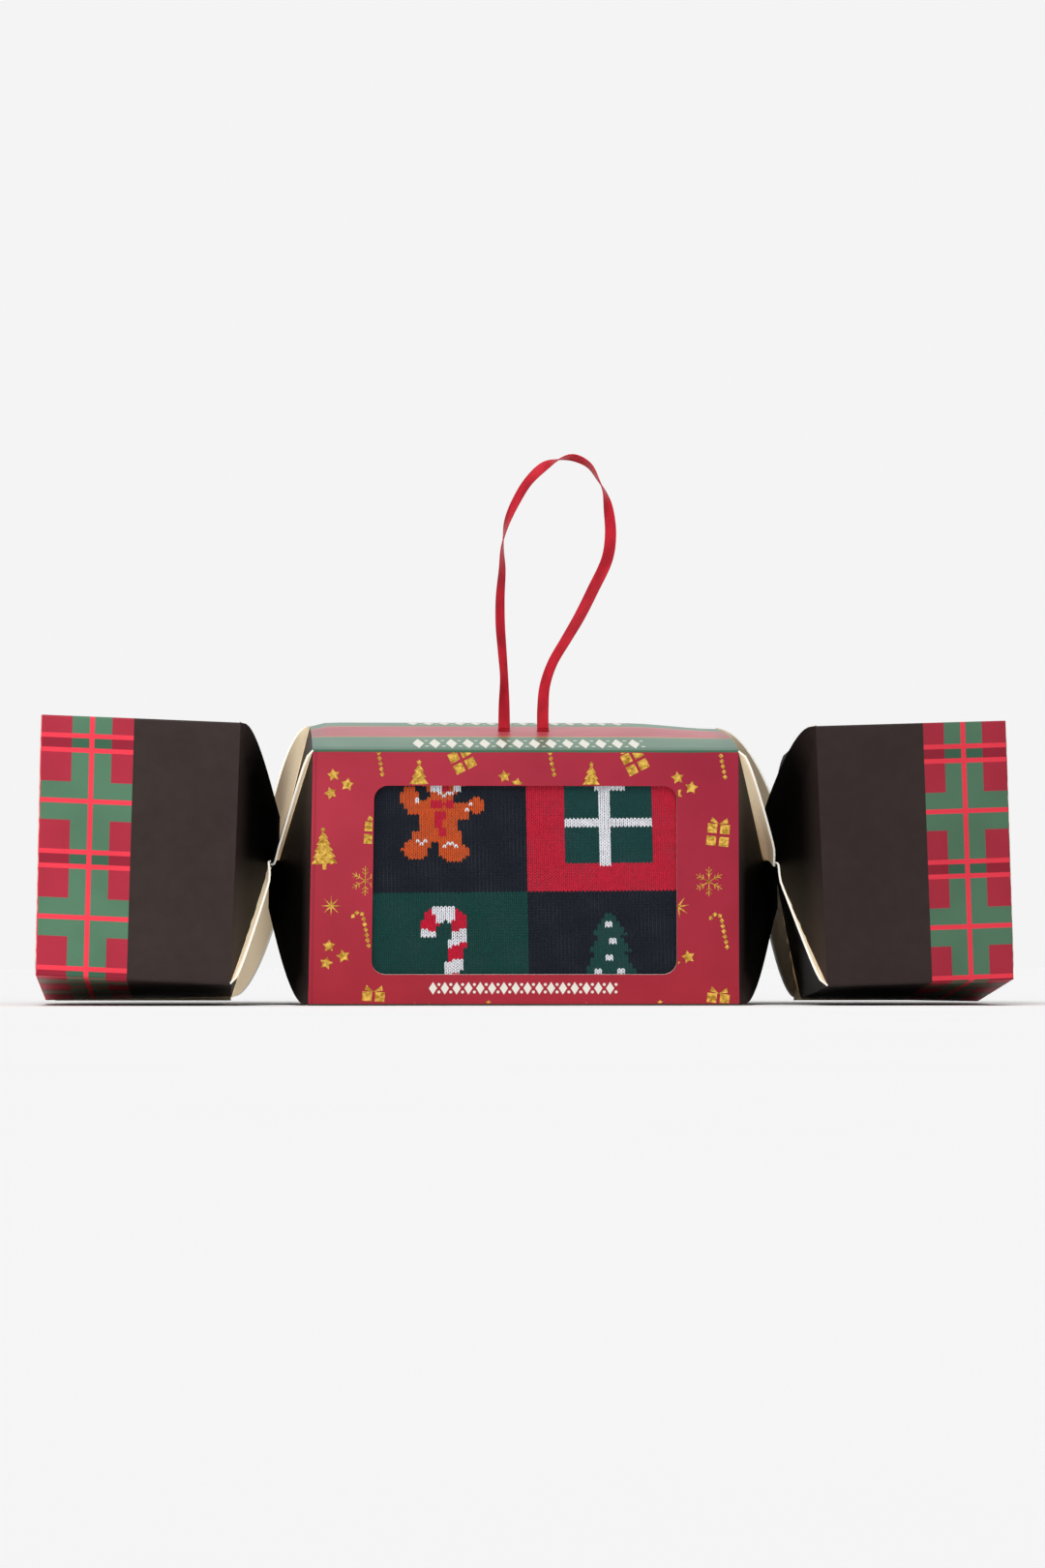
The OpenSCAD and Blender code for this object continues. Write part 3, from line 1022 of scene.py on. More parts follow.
def lip_place(side):
    def place(y, along, depth):
        reach = END_LEN - along * cos(LIP_LEAN) + depth * sin(LIP_LEAN)
        high = END_W / 2 - LID_DROP + along * sin(LIP_LEAN) + depth * cos(LIP_LEAN)
        return in_end(side, reach, y, high)
    return place


def dust_place(side, face):
    """In from the front or back panel's fold, behind the lid: U is the distance from that fold."""
    toward = -1 if face == "front" else 1

    def place(along, high, depth):
        turn = pi / 4 + min(along / FOLD_R, 1) * pi / 4
        back = (SIDE_PANEL_LEN - DUST_FACE) * eased((along - FOLD_R) / DUST_RAMP)
        reach = SIDE_PANEL_LEN - FOLD_R + (FOLD_R - depth) * sin(turn) - back
        out = END_W / 2 - FOLD_R + (FOLD_R - depth) * cos(turn) - max(along - FOLD_R, 0)
        return in_end(side, reach, toward * out, high)
    return place


def softened(loop, radius, steps=4):
    """An outline with rounded corners."""
    made = []
    for i, corner in enumerate(loop):
        here = Vector(corner)
        ways = [Vector(loop[k % len(loop)]) - here for k in (i - 1, i + 1)]
        cut = min(radius, *(way.length * 0.45 for way in ways))
        ends = [here + way.normalized() * cut for way in ways]
        for k in range(steps + 1):
            s = k / steps
            point = ends[0] * (1 - s) ** 2 + here * 2 * s * (1 - s) + ends[1] * s ** 2
            made.append(tuple(point))
    return made


def even_loop(loop, step=GRID):
    """The same outline with extra points on its long stretches."""
    made = []
    for a, b in zip(loop, loop[1:] + loop[:1]):
        count = max(1, round(hypot(b[0] - a[0], b[1] - a[1]) / step))
        made += [(mix(a[0], b[0], k / count), mix(a[1], b[1], k / count)) for k in range(count)]
    return made


def past_end(side, run):
    """Place on the plaid, for a distance past the outer end's fold."""
    return -run - LINE_FROM_END[side]


def add_lid(side):
    half = END_W / 2 - LID_GAP
    edge = LID_EDGE - LIP_GAP[side]
    rows = fold_lines(0, edge, last=False)
    columns = lines(-half, half)
    corner = LID_CORNER / 2
    outline = [(-half, 0), (half, 0), (half, edge - corner), (half - corner, edge)]
    outline += [(corner - half, edge), (-half, edge - corner)]
    mesh = board_mesh(
        f"{side}_lid_board", filled(even_loop(outline, 2), (), columns[1:-1], rows[1:-1]), lid_place(side),
        lambda y, down: (past_end(side, down), y),
    )
    add_piece(mesh, f"{side}_lid", PLAID_BOARD, [f"{side}_end_lid"], "plaid_print")


def add_lip(side):
    root = END_W / 2 - BOARD - PLAY
    tip = root - LIP_INSET
    outline = softened([(-root, 0), (root, 0), (tip, LIP_LEN), (-tip, LIP_LEN)], LIP_CORNER)
    sheet = filled(even_loop(outline, 3), (), lines(-root, root)[1:-1], lines(0, LIP_LEN)[1:-1])
    mesh = board_mesh(
        f"{side}_lip_board", sheet, lip_place(side),
        lambda y, along: (past_end(side, LID_DROP + along), y),
    )
    add_piece(mesh, f"{side}_lip", PLAID_BOARD, [f"{side}_end_lid_lip"], "bare_board")


def add_dust_flap(side, face):
    hinge_top = END_W / 2 - BOARD - PLAY - DUST_TAPER / 5
    tip_top = END_W / 2 - DUST_TAPER - BOARD - PLAY
    hinge_low = -END_W / 2 + BOARD + 2 * PLAY + DUST_TAPER / 5
    tip_low = -END_W / 2 + LIP_LEN * sin(LIP_LEAN) + DUST_TAPER
    outline = [(0, hinge_low), (DUST_LEN, tip_low), (DUST_LEN, tip_top), (0, hinge_top)]
    loop = even_loop(softened(outline, DUST_CORNER), 3)
    columns = fold_lines(0, DUST_LEN, last=False)
    sheet = filled(loop, (), columns[1:-1], lines(hinge_low, hinge_top)[1:-1])
    mesh = board_mesh(
        f"{side}_dust_{face}_board", sheet, dust_place(side, face),
        lambda along, high: (past_end(side, along), high),
    )
    add_piece(mesh, f"{side}_dust_{face}", PLAID_BOARD, [f"{side}_dust_flap_{face}"], "plaid_print")


def add_closures():
    for side in SIDES:
        add_lid(side)
        add_lip(side)
        for face in ("front", "back"):
            add_dust_flap(side, face)


# Necks: each gusset is a strip from a box's fold, at share 0, to the waist's crease, at share 1

PYRAMID_SLOPE = 1.12
STRAIGHT_SLOPE = {"left": {"body": 1.14, "end": 1.1}, "right": {"body": 1.2, "end": 1.1}}
STRAIGHT_LEAST = 0.4
CREASE_HALF = 0.6
CREASE_SOFTNESS = 40
GUSSET_POWER = {"body": 1.8, "end": 1.6}
FLARE = {"left": 1.7, "right": 2.3}
WAIST_FLARE = {"left": {"body": 0.7, "end": -0.6}, "right": {"body": 0.1, "end": 0}}
FLARE_WAY = (0.963, 0.267)
FLARE_REACH = 1.2
WAIST_SHARE = 0.72
# How fast the painted highlight near the box's fold, and the painted light inside, fade along each half's
# blank
PAINTED_LIGHT_SLANT = {"body": 1, "end": 0.65}
SLOPE_STEP = 0.002
GUSSET_STEPS = 20
GUSSET_COLUMNS = 16


def strip_height(width, share):
    """Distance of a gusset's surface from the neck's middle plane."""
    straight = width / 2 * (1 - PYRAMID_SLOPE * share)
    return (straight + CREASE_HALF + hypot(straight - CREASE_HALF, width / CREASE_SOFTNESS)) / 2


def round_reach(half, width, share):
    """How far a gusset reaches past the neck's middle on its round side."""
    return width / 2 - (width / 2 - WAIST_REACH) * share ** GUSSET_POWER[half]


def straight_reach(side, half, width, share):
    """The same on its straight side, where it ends under its neighbour's round side."""
    return max(width / 2 * (1 - STRAIGHT_SLOPE[side][half] * share) - BOARD, STRAIGHT_LEAST)


def gusset_surface(side, half, face, share, across):
    """A point of a gusset's outer surface. Across is positive towards its round side."""
    sign = SIDES[side]
    width = BODY_W if half == "body" else END_W
    out = strip_height(width, share)
    beyond = max(across - out, 0)
    flare = FLARE[side] * beyond / (beyond + FLARE_REACH)
    if face in ("top", "bottom"):
        flare *= mix(1, WAIST_FLARE[side][half], eased((share - WAIST_SHARE) / (1 - WAIST_SHARE)))
    out += flare * FLARE_WAY[1]
    along = -across if half == "body" else across
    x, y, z = on_face(face, 0, along, out)
    if half == "body":
        fold = BODY_LEN / 2 + BODY_EDGE_OUT - BODY_LEAN * 2 * z / width
        z -= back_sag(sign * BODY_LEN / 2, y, z) * (1 - eased(share))
        reach = mix(fold, WAIST[side], share) + flare * FLARE_WAY[0]
        return rolled(sign * reach, y, z, BODY_ROLL, BODY_AXIS)
    fold = INNER_FOLD[side] - INNER_LEAN * 2 * z / width
    reach = mix(fold, WAIST[side], share) - flare * FLARE_WAY[0]
    lift = INNER_LIFT[side] * (1 - share)
    return rolled(sign * reach, y, z, -INNER_ROLL, END_AXIS + lift)


def gusset_place(side, half, face):
    width = BODY_W if half == "body" else END_W
    inward = 1 if (half == "body") == (side == "right") else -1

    def place(share, slide, depth):
        across = mix(-straight_reach(side, half, width, share), round_reach(half, width, share), slide)
        here = gusset_surface(side, half, face, share, across)
        ahead = gusset_surface(side, half, face, share + SLOPE_STEP, across) - here
        beside = gusset_surface(side, half, face, share, across + SLOPE_STEP * width) - here
        middle = Vector((here.x, 0, BODY_AXIS))
        out = ahead.cross(beside).normalized()
        away = Vector((inward, 0, 0)) * 2 + (here - middle).normalized()
        if out.dot(away) < 0:
            out = -out
        return here - out * depth
    return place


def gusset_sheet():
    """A grid over share and slide, both from 0 to 1."""
    row = GUSSET_COLUMNS + 1
    flat = [(i / GUSSET_STEPS, k / GUSSET_COLUMNS) for i in range(GUSSET_STEPS + 1) for k in range(row)]
    starts = [i * row + k for i in range(GUSSET_STEPS) for k in range(GUSSET_COLUMNS)]
    return flat, [(a, a + row, a + row + 1, a + 1) for a in starts]


def add_gusset(side, half, face):
    width = BODY_W if half == "body" else END_W
    slant = hypot(width / 2, NECK_HALF) * PAINTED_LIGHT_SLANT[half]
    mesh = board_mesh(
        f"{side}_{half}_{face}_gusset_board", gusset_sheet(), gusset_place(side, half, face),
        lambda share, slide: (share * slant, slide * width), cut=lambda a, b: a[1] == b[1],
    )
    # Painted light: the left neck's gussets and the top and bottom ones take the shining cream inside and cut
    # edge.
    lit = side == "left" or face in ("top", "bottom")
    materials = LIT_NECK_BOARD if lit else SHADED_NECK_BOARD
    gusset = add_piece(mesh, None, materials, [f"{side}_{half}_gusset_{face}"], "black_print")
    inner, waist, outer = (
        (SIDES[side] * (BODY_LEN / 2 + halves * NECK_HALF) * MM, 0, BODY_AXIS * MM) for halves in range(3)
    )
    if half == "body":
        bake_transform(gusset)
        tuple(inner)
        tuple(waist)
    else:
        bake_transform(gusset)
        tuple(waist)
        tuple(outer)


def add_necks():
    for side in SIDES:
        for half in ("body", "end"):
            for face in FACES:
                add_gusset(side, half, face)


# Flat print in relief: gold foil motifs and white ornaments

FOIL_RISE = 0.05
FOIL_ROOT = 0.02


def turned(loop, angle, u=0, v=0):
    a = radians(angle)
    return [(u + p * cos(a) - q * sin(a), v + p * sin(a) + q * cos(a)) for p, q in loop]


def scaled_loop(loop, size):
    return [(u * size, v * size) for u, v in loop]


def star(radius, points=5, inner=0.52):
    loop = []
    for k in range(points * 2):
        reach = radius if k % 2 == 0 else radius * inner
        angle = pi / 2 + pi * k / points
        loop.append((reach * cos(angle), reach * sin(angle)))
    return [loop]


def stroke(points, width):
    """A line as one quad for each of its stretches."""
    made = []
    for (a, b), (c, d) in zip(points, points[1:]):
        length = hypot(c - a, d - b)
        p, q = (b - d) / length * width / 2, (c - a) / length * width / 2
        made.append([(a + p, b + q), (a - p, b - q), (c - p, d - q), (c + p, d + q)])
    return made


TREE_SIDE = [
    (0.03, 0.4), (0.12, 0.26), (0.07, 0.26), (0.17, 0.11), (0.11, 0.11), (0.23, -0.05), (0.16, -0.05),
    (0.28, -0.2), (0.21, -0.2), (0.32, -0.37), (0.24, -0.35), (0.17, -0.38), (0.1, -0.35), (0.045, -0.38),
    (0.045, -0.5),
]


def tree(height):
    """A fir in tiers on a trunk, with a star at its top."""
    outline = [(0, 0.43)] + TREE_SIDE + [(-u, v) for u, v in reversed(TREE_SIDE)]
    return [scaled_loop(outline, height), turned(star(height * 0.07)[0], 0, 0, height * 0.48)]


def gift(size):
    """Four quarters of a box between its ribbons, and a bow."""
    gap, half = 0.07, 0.5
    loops = []
    for a in (-1, 1):
        for b in (-1, 1):
            loops.append([(a * gap, b * gap), (a * half, b * gap), (a * half, b * half), (a * gap, b * half)])
        loops.append([(0, half), (a * 0.34, half + 0.3), (a * 0.4, half + 0.08)])
    return [scaled_loop(loop, size) for loop in loops]


def snowflake(radius):
    """Six spokes, each with two pairs of barbs."""
    arm = stroke([(0, 0.04), (0, 1)], 0.05)
    for side in (-1, 1):
        for start in (0.4, 0.64):
            arm += stroke([(0, start), (side * 0.2, start + 0.2)], 0.04)
    return [scaled_loop(turned(loop, 60 * k), radius) for k in range(6) for loop in arm]


def cane(height):
    """A candy cane as leaf-like dashes along a shaft and a hook to its left."""
    hook_r, straight, dashes, wide = 0.14, 0.86, 9, 0.06
    total = straight + pi * hook_r
    half = total / dashes * 0.46
    dash = [(-half, 0.2 * wide), (-half * 0.2, -wide), (half, -0.4 * wide), (half * 0.3, wide)]
    loops = []
    for k in range(dashes):
        run = total * (k + 0.5) / dashes
        angle = max(run - straight, 0) / hook_r
        u, v = hook_r * cos(angle), min(run, straight) - 0.5 + hook_r * sin(angle)
        loops.append(scaled_loop(turned(dash, 90 + degrees(angle), u, v), height))
    return loops


def clipped(loop, axis, limit, keep):
    """The part of a loop on one side of a line across U (axis 0) or V (axis 1)."""
    made = []
    for a, b in zip(loop, loop[1:] + loop[:1]):
        inside_a, inside_b = ((p[axis] - limit) * keep >= 0 for p in (a, b))
        if inside_a:
            made.append(a)
        if inside_a != inside_b:
            share = (limit - a[axis]) / (b[axis] - a[axis])
            made.append((mix(a[0], b[0], share), mix(a[1], b[1], share)))
    return made


def joined(loops):
    """Flat triangles of many loops, each filled by itself."""
    flat = []
    faces = []
    for loop in loops:
        if len(loop) < 3:
            continue
        verts, made = filled(loop)
        faces += [tuple(i + len(flat) for i in face) for face in made]
        flat += verts
    return flat, faces


# Motifs on the front panel: kind, place along and up the panel, size and turn
FRONT_MOTIFS = [
    ("star", -48.4, 26.1, 1.65, 10), ("star", -44.9, 23.7, 1.75, -8), ("star", -49.0, 21.5, 1.65, 20),
    ("star", -48.8, -17.3, 1.65, 0), ("star", -45.2, -19.9, 1.75, 14), ("star", -49.4, -21.7, 1.7, -12),
    ("star", 38.3, 25.5, 1.65, 8), ("star", 41.8, 23.0, 1.75, -8), ("star", 38.1, 21.6, 1.6, 20),
    ("star", 41.0, -20.1, 1.75, 14), ("star", 37.5, -21.7, 1.6, -12), ("star", 37.0, 4.5, 1.6, 0),
    ("star", -5.4, 25.8, 1.6, 10), ("star", -2.2, 23.9, 1.6, -8), ("tree", -50.5, 7.3, 10.3, 3),
    ("tree", -26.9, 24.4, 10.3, 0), ("tree", 16.5, 24.0, 10.3, 0), ("tree", -8.9, -36.7, 10.3, 0),
    ("tree", 33.9, -36.7, 10.3, 0), ("gift", -37.6, 11.4, 5.6, -3), ("gift", 48.5, 11.0, 5.6, -6),
    ("gift", -37.6, -31.8, 5.6, -3), ("gift", 48.3, -32.3, 5.6, -6), ("gift", -16.1, 29.9, 5.6, 27),
    ("gift", 27.5, 29.6, 5.6, 27), ("gift", -25.4, -36.2, 5.6, 0), ("gift", 17.3, -36.2, 5.6, 0),
    ("snowflake", -40.0, -0.7, 3.75, 0), ("snowflake", 46.2, -0.9, 3.75, 0),
    ("burst", -48.4, -7.1, 2.7, 0), ("burst", 38.4, -7.3, 3.0, 10), ("cane", -41.0, -13.5, 9.5, 11),
    ("cane", 48.6, -13.9, 9.5, 11), ("cane", -38.2, 30.0, 9.5, 11), ("cane", 5.0, 30.0, 9.5, 11),
    ("cane", 48.2, 29.4, 9.5, 11),
]
MOTIF_EDGE = 0.35
MOTIF_FORMS = {
    "star": star, "tree": tree, "gift": gift, "snowflake": snowflake, "cane": cane,
    "burst": lambda radius: star(radius, 8, 0.2),
}
# The back's rows: kinds and sizes in turn, counts, margins in pitches, and the shift of every other row
BACK_KINDS = [("star", 1.4), ("tree", 9), ("snowflake", 3.2), ("gift", 5.4), ("burst", 2.3), ("cane", 8)]
BACK_COLUMNS, BACK_ROWS = 9, 5
BACK_SIDE_MARGIN, BACK_HEAD_MARGIN = 0.6, 0.4
BACK_SHIFT = 3
BACK_SWAY = 15


def motif_loops(kind, u, v, size, angle):
    return [turned(loop, angle, u, v) for loop in MOTIF_FORMS[kind](size)]


def front_foil_loops():
    end = BODY_LEN / 2 - MOTIF_EDGE
    low, high = -BODY_W / 2 + WRAP, BODY_W / 2 - WRAP - 0.1
    window_u = BODY_LEN / 2 - WINDOW_END + MOTIF_EDGE
    window_high = BODY_W / 2 - WINDOW_DROP + MOTIF_EDGE
    window_low = -BODY_W / 2 + WINDOW_RISE - MOTIF_EDGE
    loops = []
    for motif in FRONT_MOTIFS:
        u, v = motif[1:3]
        limits = [(0, -end, 1), (0, end, -1), (1, low, 1), (1, high, -1)]
        if window_low < v < window_high:
            limits.append((0, copysign(window_u, u), copysign(1, u)))
        elif abs(u) < window_u:
            limits.append((1, window_high, 1) if v > 0 else (1, window_low, -1))
        for loop in motif_loops(*motif):
            for limit in limits:
                loop = clipped(loop, *limit) if len(loop) > 2 else []
            loops.append(loop)
    return loops


def back_foil_loops():
    """The back carries the same motifs in even rows, every other row shifted."""
    loops = []
    for i in range(BACK_COLUMNS):
        for k in range(BACK_ROWS):
            kind, size = BACK_KINDS[(i * 2 + k * 3) % len(BACK_KINDS)]
            u = (i - (BACK_COLUMNS - 1) / 2) * BODY_LEN / (BACK_COLUMNS + BACK_SIDE_MARGIN)
            v = (k - (BACK_ROWS - 1) / 2) * BODY_W / (BACK_ROWS + BACK_HEAD_MARGIN)
            sway = (i * 37 + k * 53) % (2 * BACK_SWAY) - BACK_SWAY
            loops += motif_loops(kind, u + (k % 2 - 0.5) * BACK_SHIFT, v, size, 180 + sway)
    return loops


def diamond(u, v, wide, high):
    return [(u - wide / 2, v), (u, v - high / 2), (u + wide / 2, v), (u, v + high / 2)]


def border_loops(left, right, v, pitch, high):
    """A border of leafy diamonds between dots."""
    count = round((right - left) / pitch)
    loops = []
    for k in range(count):
        u = left + (k + 0.5) * (right - left) / count
        loops.append(diamond(u, v, pitch * 0.7, high))
        for side in (-1, 1):
            loops.append(circle(u + pitch / 2, v + side * high * 0.3, pitch * 0.13, 10))
    return loops


# White borders: left and right end, place up the panel, pitch and height
TOP_BORDERS = [(-29, 30, -23.6, 4.2, 14), (-29, 29, 24.5, 4.2, 14)]
FRONT_BORDER = (-24.2, 22.9, -28.1, 2.95, 3.2)


def add_flat_print():
    """The raised foil and ink, each one piece on its panel."""
    top_loops = [loop for border in TOP_BORDERS for loop in border_loops(*border)]
    prints = [
        ("front_gold_foil", front_foil_loops(), "front", GOLD, "crimson_print"),
        ("back_gold_foil", back_foil_loops(), "back", GOLD, "crimson_print"),
        ("top_white_borders", top_loops, "top", WHITE, "banded_print"),
        ("front_white_row", border_loops(*FRONT_BORDER), "front", WHITE, "crimson_print"),
    ]
    for name, loops, face, material, slot in prints:
        mesh = board_mesh(name, joined(loops), body_wall(face), above=FOIL_RISE, below=FOIL_ROOT)
        mesh.polygons.foreach_set("material_index", [0] * len(mesh.polygons))
        add_piece(mesh, "middle_box", [material], (), slot)


# Socks

SOCK_LEN = BODY_LEN - 2 * SOCK_END_GAP
SOCK_H = BODY_W - 2 * BOARD - SOCK_GAP - SOCK_HEAD_GAP
SOCK_LOW = -BODY_W / 2 + BOARD + SOCK_GAP
SOCK_T = SOCK_LAYERS * KNIT_T
CARD_T = 0.6
FRONT_SOCK_Y = -BODY_W / 2 + BOARD + SOCK_GAP
BACK_SOCK_Y = FRONT_SOCK_Y + SOCK_T + 2 * SOCK_GAP + CARD_T
SOCK_EDGE_STEPS = 6
SOCK_SLACK = 0.12
LAYER_STEPS = 24
TURN_STEPS = 8
STITCH_R = 0.22
STITCH_GAP = 0.04
STITCH_SIDES = 5
# One leg of a stitch: its foot and head, and how thick it is at shares of its length
STITCH_FOOT, STITCH_HEAD = (0.37, -0.1, -0.5), (0.1, 0.12, 0.5)
STITCH_SWELL = [(0, 0.55), (0.3, 1), (0.7, 1), (1, 0.6)]
# Spread of the stitches' sizes and turns
STITCH_SIZES = {"Least Size": 0.93, "Most Size": 1.07}
STITCH_TURNS = {"Least Turn": (-0.06, -0.09, -0.06), "Most Turn": (0.06, 0.09, 0.06)}


def sock_line(front_y, inset):
    """Middle line of a strip that is folded back and forth in four layers."""
    flat = SOCK_LEN / 2 - KNIT_T
    line = []
    for layer in range(SOCK_LAYERS):
        way = 1 if layer % 2 == 0 else -1
        y = front_y + inset + (layer + 0.5) * KNIT_T
        line += [(mix(-flat * way, flat * way, k / LAYER_STEPS), y) for k in range(LAYER_STEPS + 1)]
        if layer < SOCK_LAYERS - 1:
            for k in range(1, TURN_STEPS):
                angle = -pi / 2 + pi * k / TURN_STEPS
                line.append((way * (flat + KNIT_T / 2 * cos(angle)), y + KNIT_T / 2 * (1 + sin(angle))))
    return line


def folded_sock_mesh(name, front_y, inset):
    """One knitted strip along its folded line, with rounded, slightly wavy edges."""
    line = sock_line(front_y, inset)
    rings = []
    for i, (x, y) in enumerate(line):
        before, after = line[max(i - 1, 0)], line[min(i + 1, len(line) - 1)]
        way = Vector((after[0] - before[0], after[1] - before[1])).normalized()
        end_share = min(i, len(line) - 1 - i) / 3
        half = (KNIT_T / 2 - SOCK_SLACK) * min(1, 0.45 + 0.55 * end_share)
        ring = []
        for top in (1, -1):
            wave = 0.12 * sin(x * 0.31 + top) + 0.1 * sin(x * 0.83)
            middle_z = SOCK_LOW + SOCK_H / 2 + top * (SOCK_H / 2 - half) + wave * 0.5
            for k in range(SOCK_EDGE_STEPS + 1):
                angle = pi * k / SOCK_EDGE_STEPS
                across, rise = half * cos(angle) * top, half * sin(angle) * top
                ring.append(in_body(x - way.y * across, y + way.x * across, middle_z + rise))
        rings.append(ring)
    return swept(name, rings)


# Yarn colours and the pictures knitted in them, in millimetres from the corner where the four fields meet
NAVY = rgb(30, 35, 45)
RED_YARN = rgb(210, 38, 64)
DARK_GREEN = rgb(24, 74, 68)
ORANGE = rgb(218, 94, 44)
WHITE_YARN = rgb(243, 245, 251)
GIFT_GREEN = rgb(27, 75, 72)
CANE_RED = rgb(218, 30, 62)
TREE_GREEN = rgb(33, 79, 75)
KNIT_CORNER = (0.7, -3.5)
# How far the columns lean and the rows climb
KNIT_LEAN = 0.025
KNIT_TILT = 0.01
KNIT_SEED = 3
GINGERBREAD_SHIFT = 0.5


def block(x, z, left, right, low, high):
    return left <= x < right and low <= z < high


def disc(x, z, centre_x, centre_z, radius_x, radius_z, power=2):
    return abs((x - centre_x) / radius_x) ** power + abs((z - centre_z) / radius_z) ** power < 1


# Blocks of the figure's white eyes and mouth, and of its red nose and bow: left, right, low and high
FIGURE_WHITE = [
    (-24.2, -22.0, 25.6, 27.4), (-19.1, -17.2, 25.6, 27.4), (-22.4, -21.4, 24.6, 25.4),
    (-21.3, -20.3, 24.0, 24.8), (-20.2, -19.2, 24.6, 25.4),
]
FIGURE_RED = [
    (-21.2, -19.9, 25.9, 27.2), (-24.2, -22.0, 21.1, 23.4), (-20.9, -19.2, 21.1, 23.4),
    (-22.0, -20.9, 21.7, 22.7), (-23.2, -21.0, 18.2, 20.7), (-23.2, -21.9, 16.6, 18.2),
    (-22.9, -21.0, 14.2, 16.6),
]
# Single white stitches on its cuffs
FIGURE_CUFFS = [
    (-28.3, 23.9), (-27.4, 22.9), (-14.8, 22.4), (-15.7, 21.2), (-28.3, 12.9), (-27.25, 12.1),
    (-26.3, 12.9), (-21.5, 11.7), (-20.6, 12.4), (-19.6, 12.4), (-18.6, 11.8),
]


def gingerbread(x, z):
    x -= GINGERBREAD_SHIFT
    body = [
        disc(x, z, -21.2, 29.5, 5.4, 5.6), block(x, z, -24.9, -18.4, 22.5, 25),
        disc(x, z, -22.6, 18.4, 4.8, 5.6, 4), disc(x, z, -29.8, 24.1, 2.1, 2.9),
        block(x, z, -30.6, -26.5, 19.7, 23.6) and z < 23.6 + (x + 27) * 0.2,
        block(x, z, -18.8, -14.6, 18.7, 22.6), disc(x, z, -13.0, 22.0, 1.9, 2.5),
        disc(x, z, -28.4, 11.0, 3.4, 2.5), block(x, z, -29.5, -24.1, 11.2, 15.5),
        disc(x, z, -18.7, 10.3, 3.7, 2.7), block(x, z, -22.9, -17.0, 10.6, 15.5),
    ]
    if any(block(x, z, *b) for b in FIGURE_WHITE):
        return WHITE_YARN
    if any(abs(x - a) < WALE / 2 and abs(z - b) < COURSE / 2 for a, b in FIGURE_CUFFS):
        return WHITE_YARN
    if any(block(x, z, *b) for b in FIGURE_RED):
        return RED_YARN
    return ORANGE if any(body) else NAVY


def present(x, z):
    slant = (z - 17) * 0.02
    if block(x, z, 16.9, 24.6, 25.9, 27.3):
        return WHITE_YARN
    if block(x - slant, z, 18.3, 21.2, 6.5, 27) or block(x, z, 9.4, 31.4, 16.0, 18.8):
        return WHITE_YARN
    return GIFT_GREEN if block(x - slant, z, 9.4, 31.4, 7.0, 26.7) else RED_YARN


CANE_ARCH = (-20.9, -9.2)
CANE_R = 3.9
CANE_HALF = 2.1
CANE_TIP = 2.2
CANE_STRIPE = 3.8
CANE_CAP = 2.7


def striped_cane(x, z):
    """An arch on a shaft that leans, in slanted stripes along it, with the first one over the top."""
    over_x, over_z = x - CANE_ARCH[0], z - CANE_ARCH[1]
    if over_z > 0:
        out = hypot(over_x, over_z)
        run = CANE_R * abs(atan(over_x / over_z))
    elif over_x < 0:
        out = abs(over_x)
        run = CANE_R * pi / 2 - over_z if over_z > -CANE_TIP else 0
    else:
        out = abs(over_x - over_z * 0.18)
        run = CANE_R * pi / 2 - over_z
    if abs(out - CANE_R) > CANE_HALF or run == 0:
        return DARK_GREEN
    past = run - CANE_CAP + (out - CANE_R) * 0.3
    return CANE_RED if past > 0 and past // CANE_STRIPE % 2 == 0 else WHITE_YARN


TREE_X = 20.4
TREE_DOTS = [(20.1, -8.2), (21.0, -12.6), (20.1, -16.8), (17.2, -20.7), (23.1, -20.7)]
# Each tier's top and foot, and half its width at both
TREE_TIERS = [
    (-5.6, -11.2, 0.6, 4.3), (-11.2, -15.7, 2.6, 5.8), (-15.7, -22.0, 3.8, 7.0), (-22.0, -25.0, 5.0, 6.0),
]


def knitted_tree(x, z):
    if any(abs(x - a) < WALE and abs(z - b) < COURSE for a, b in TREE_DOTS):
        return WHITE_YARN
    for high, low, narrow, wide in TREE_TIERS:
        if low < z <= high and abs(x - TREE_X) < mix(narrow, wide, (high - z) / (high - low)):
            return TREE_GREEN
    return NAVY


# Left and right edge in stitches, lower and upper edge in millimetres, and the picture
KNIT_FIELDS = {
    "knit_gingerbread": (-43, 0, 0, 31, gingerbread), "knit_present": (0, 41, 0, 31, present),
    "knit_cane": (-43, 0, -25, 0, striped_cane), "knit_tree": (0, 41, -25, 0, knitted_tree),
}


def stitch_mesh():
    """One stitch: two plump legs that meet at the top."""
    verts = []
    faces = []
    sides = STITCH_SIDES
    for side in (-1, 1):
        low, high = (Vector((x * side, y, z)) for x, y, z in (STITCH_FOOT, STITCH_HEAD))
        way = (high - low).normalized()
        wide = way.cross(Vector((0, 1, 0)))
        first = len(verts)
        for share, swell in STITCH_SWELL:
            middle = low.lerp(high, share) + Vector((0, -0.05 * sin(share * pi), 0))
            for angle in (tau * k / sides for k in range(sides)):
                out = wide * cos(angle) + Vector((0, 1, 0)) * sin(angle)
                verts.append(middle + out * STITCH_R * swell)
        tips = len(verts)
        verts += [low - way * 0.12, high + way * 0.1]
        for i in range(len(STITCH_SWELL) - 1):
            for k in range(sides):
                a, b = first + i * sides + k, first + i * sides + (k + 1) % sides
                faces.append((a, b, b + sides, a + sides))
        last = tips - sides
        for k in range(sides):
            faces.append((first + k, first + (k + 1) % sides, tips))
            faces.append((last + k, last + (k + 1) % sides, tips + 1))
    upright = [rolled(*v, BODY_ROLL, 0) for v in verts]
    return finished("stitch", upright, faces, [0] * len(faces), radians(180))


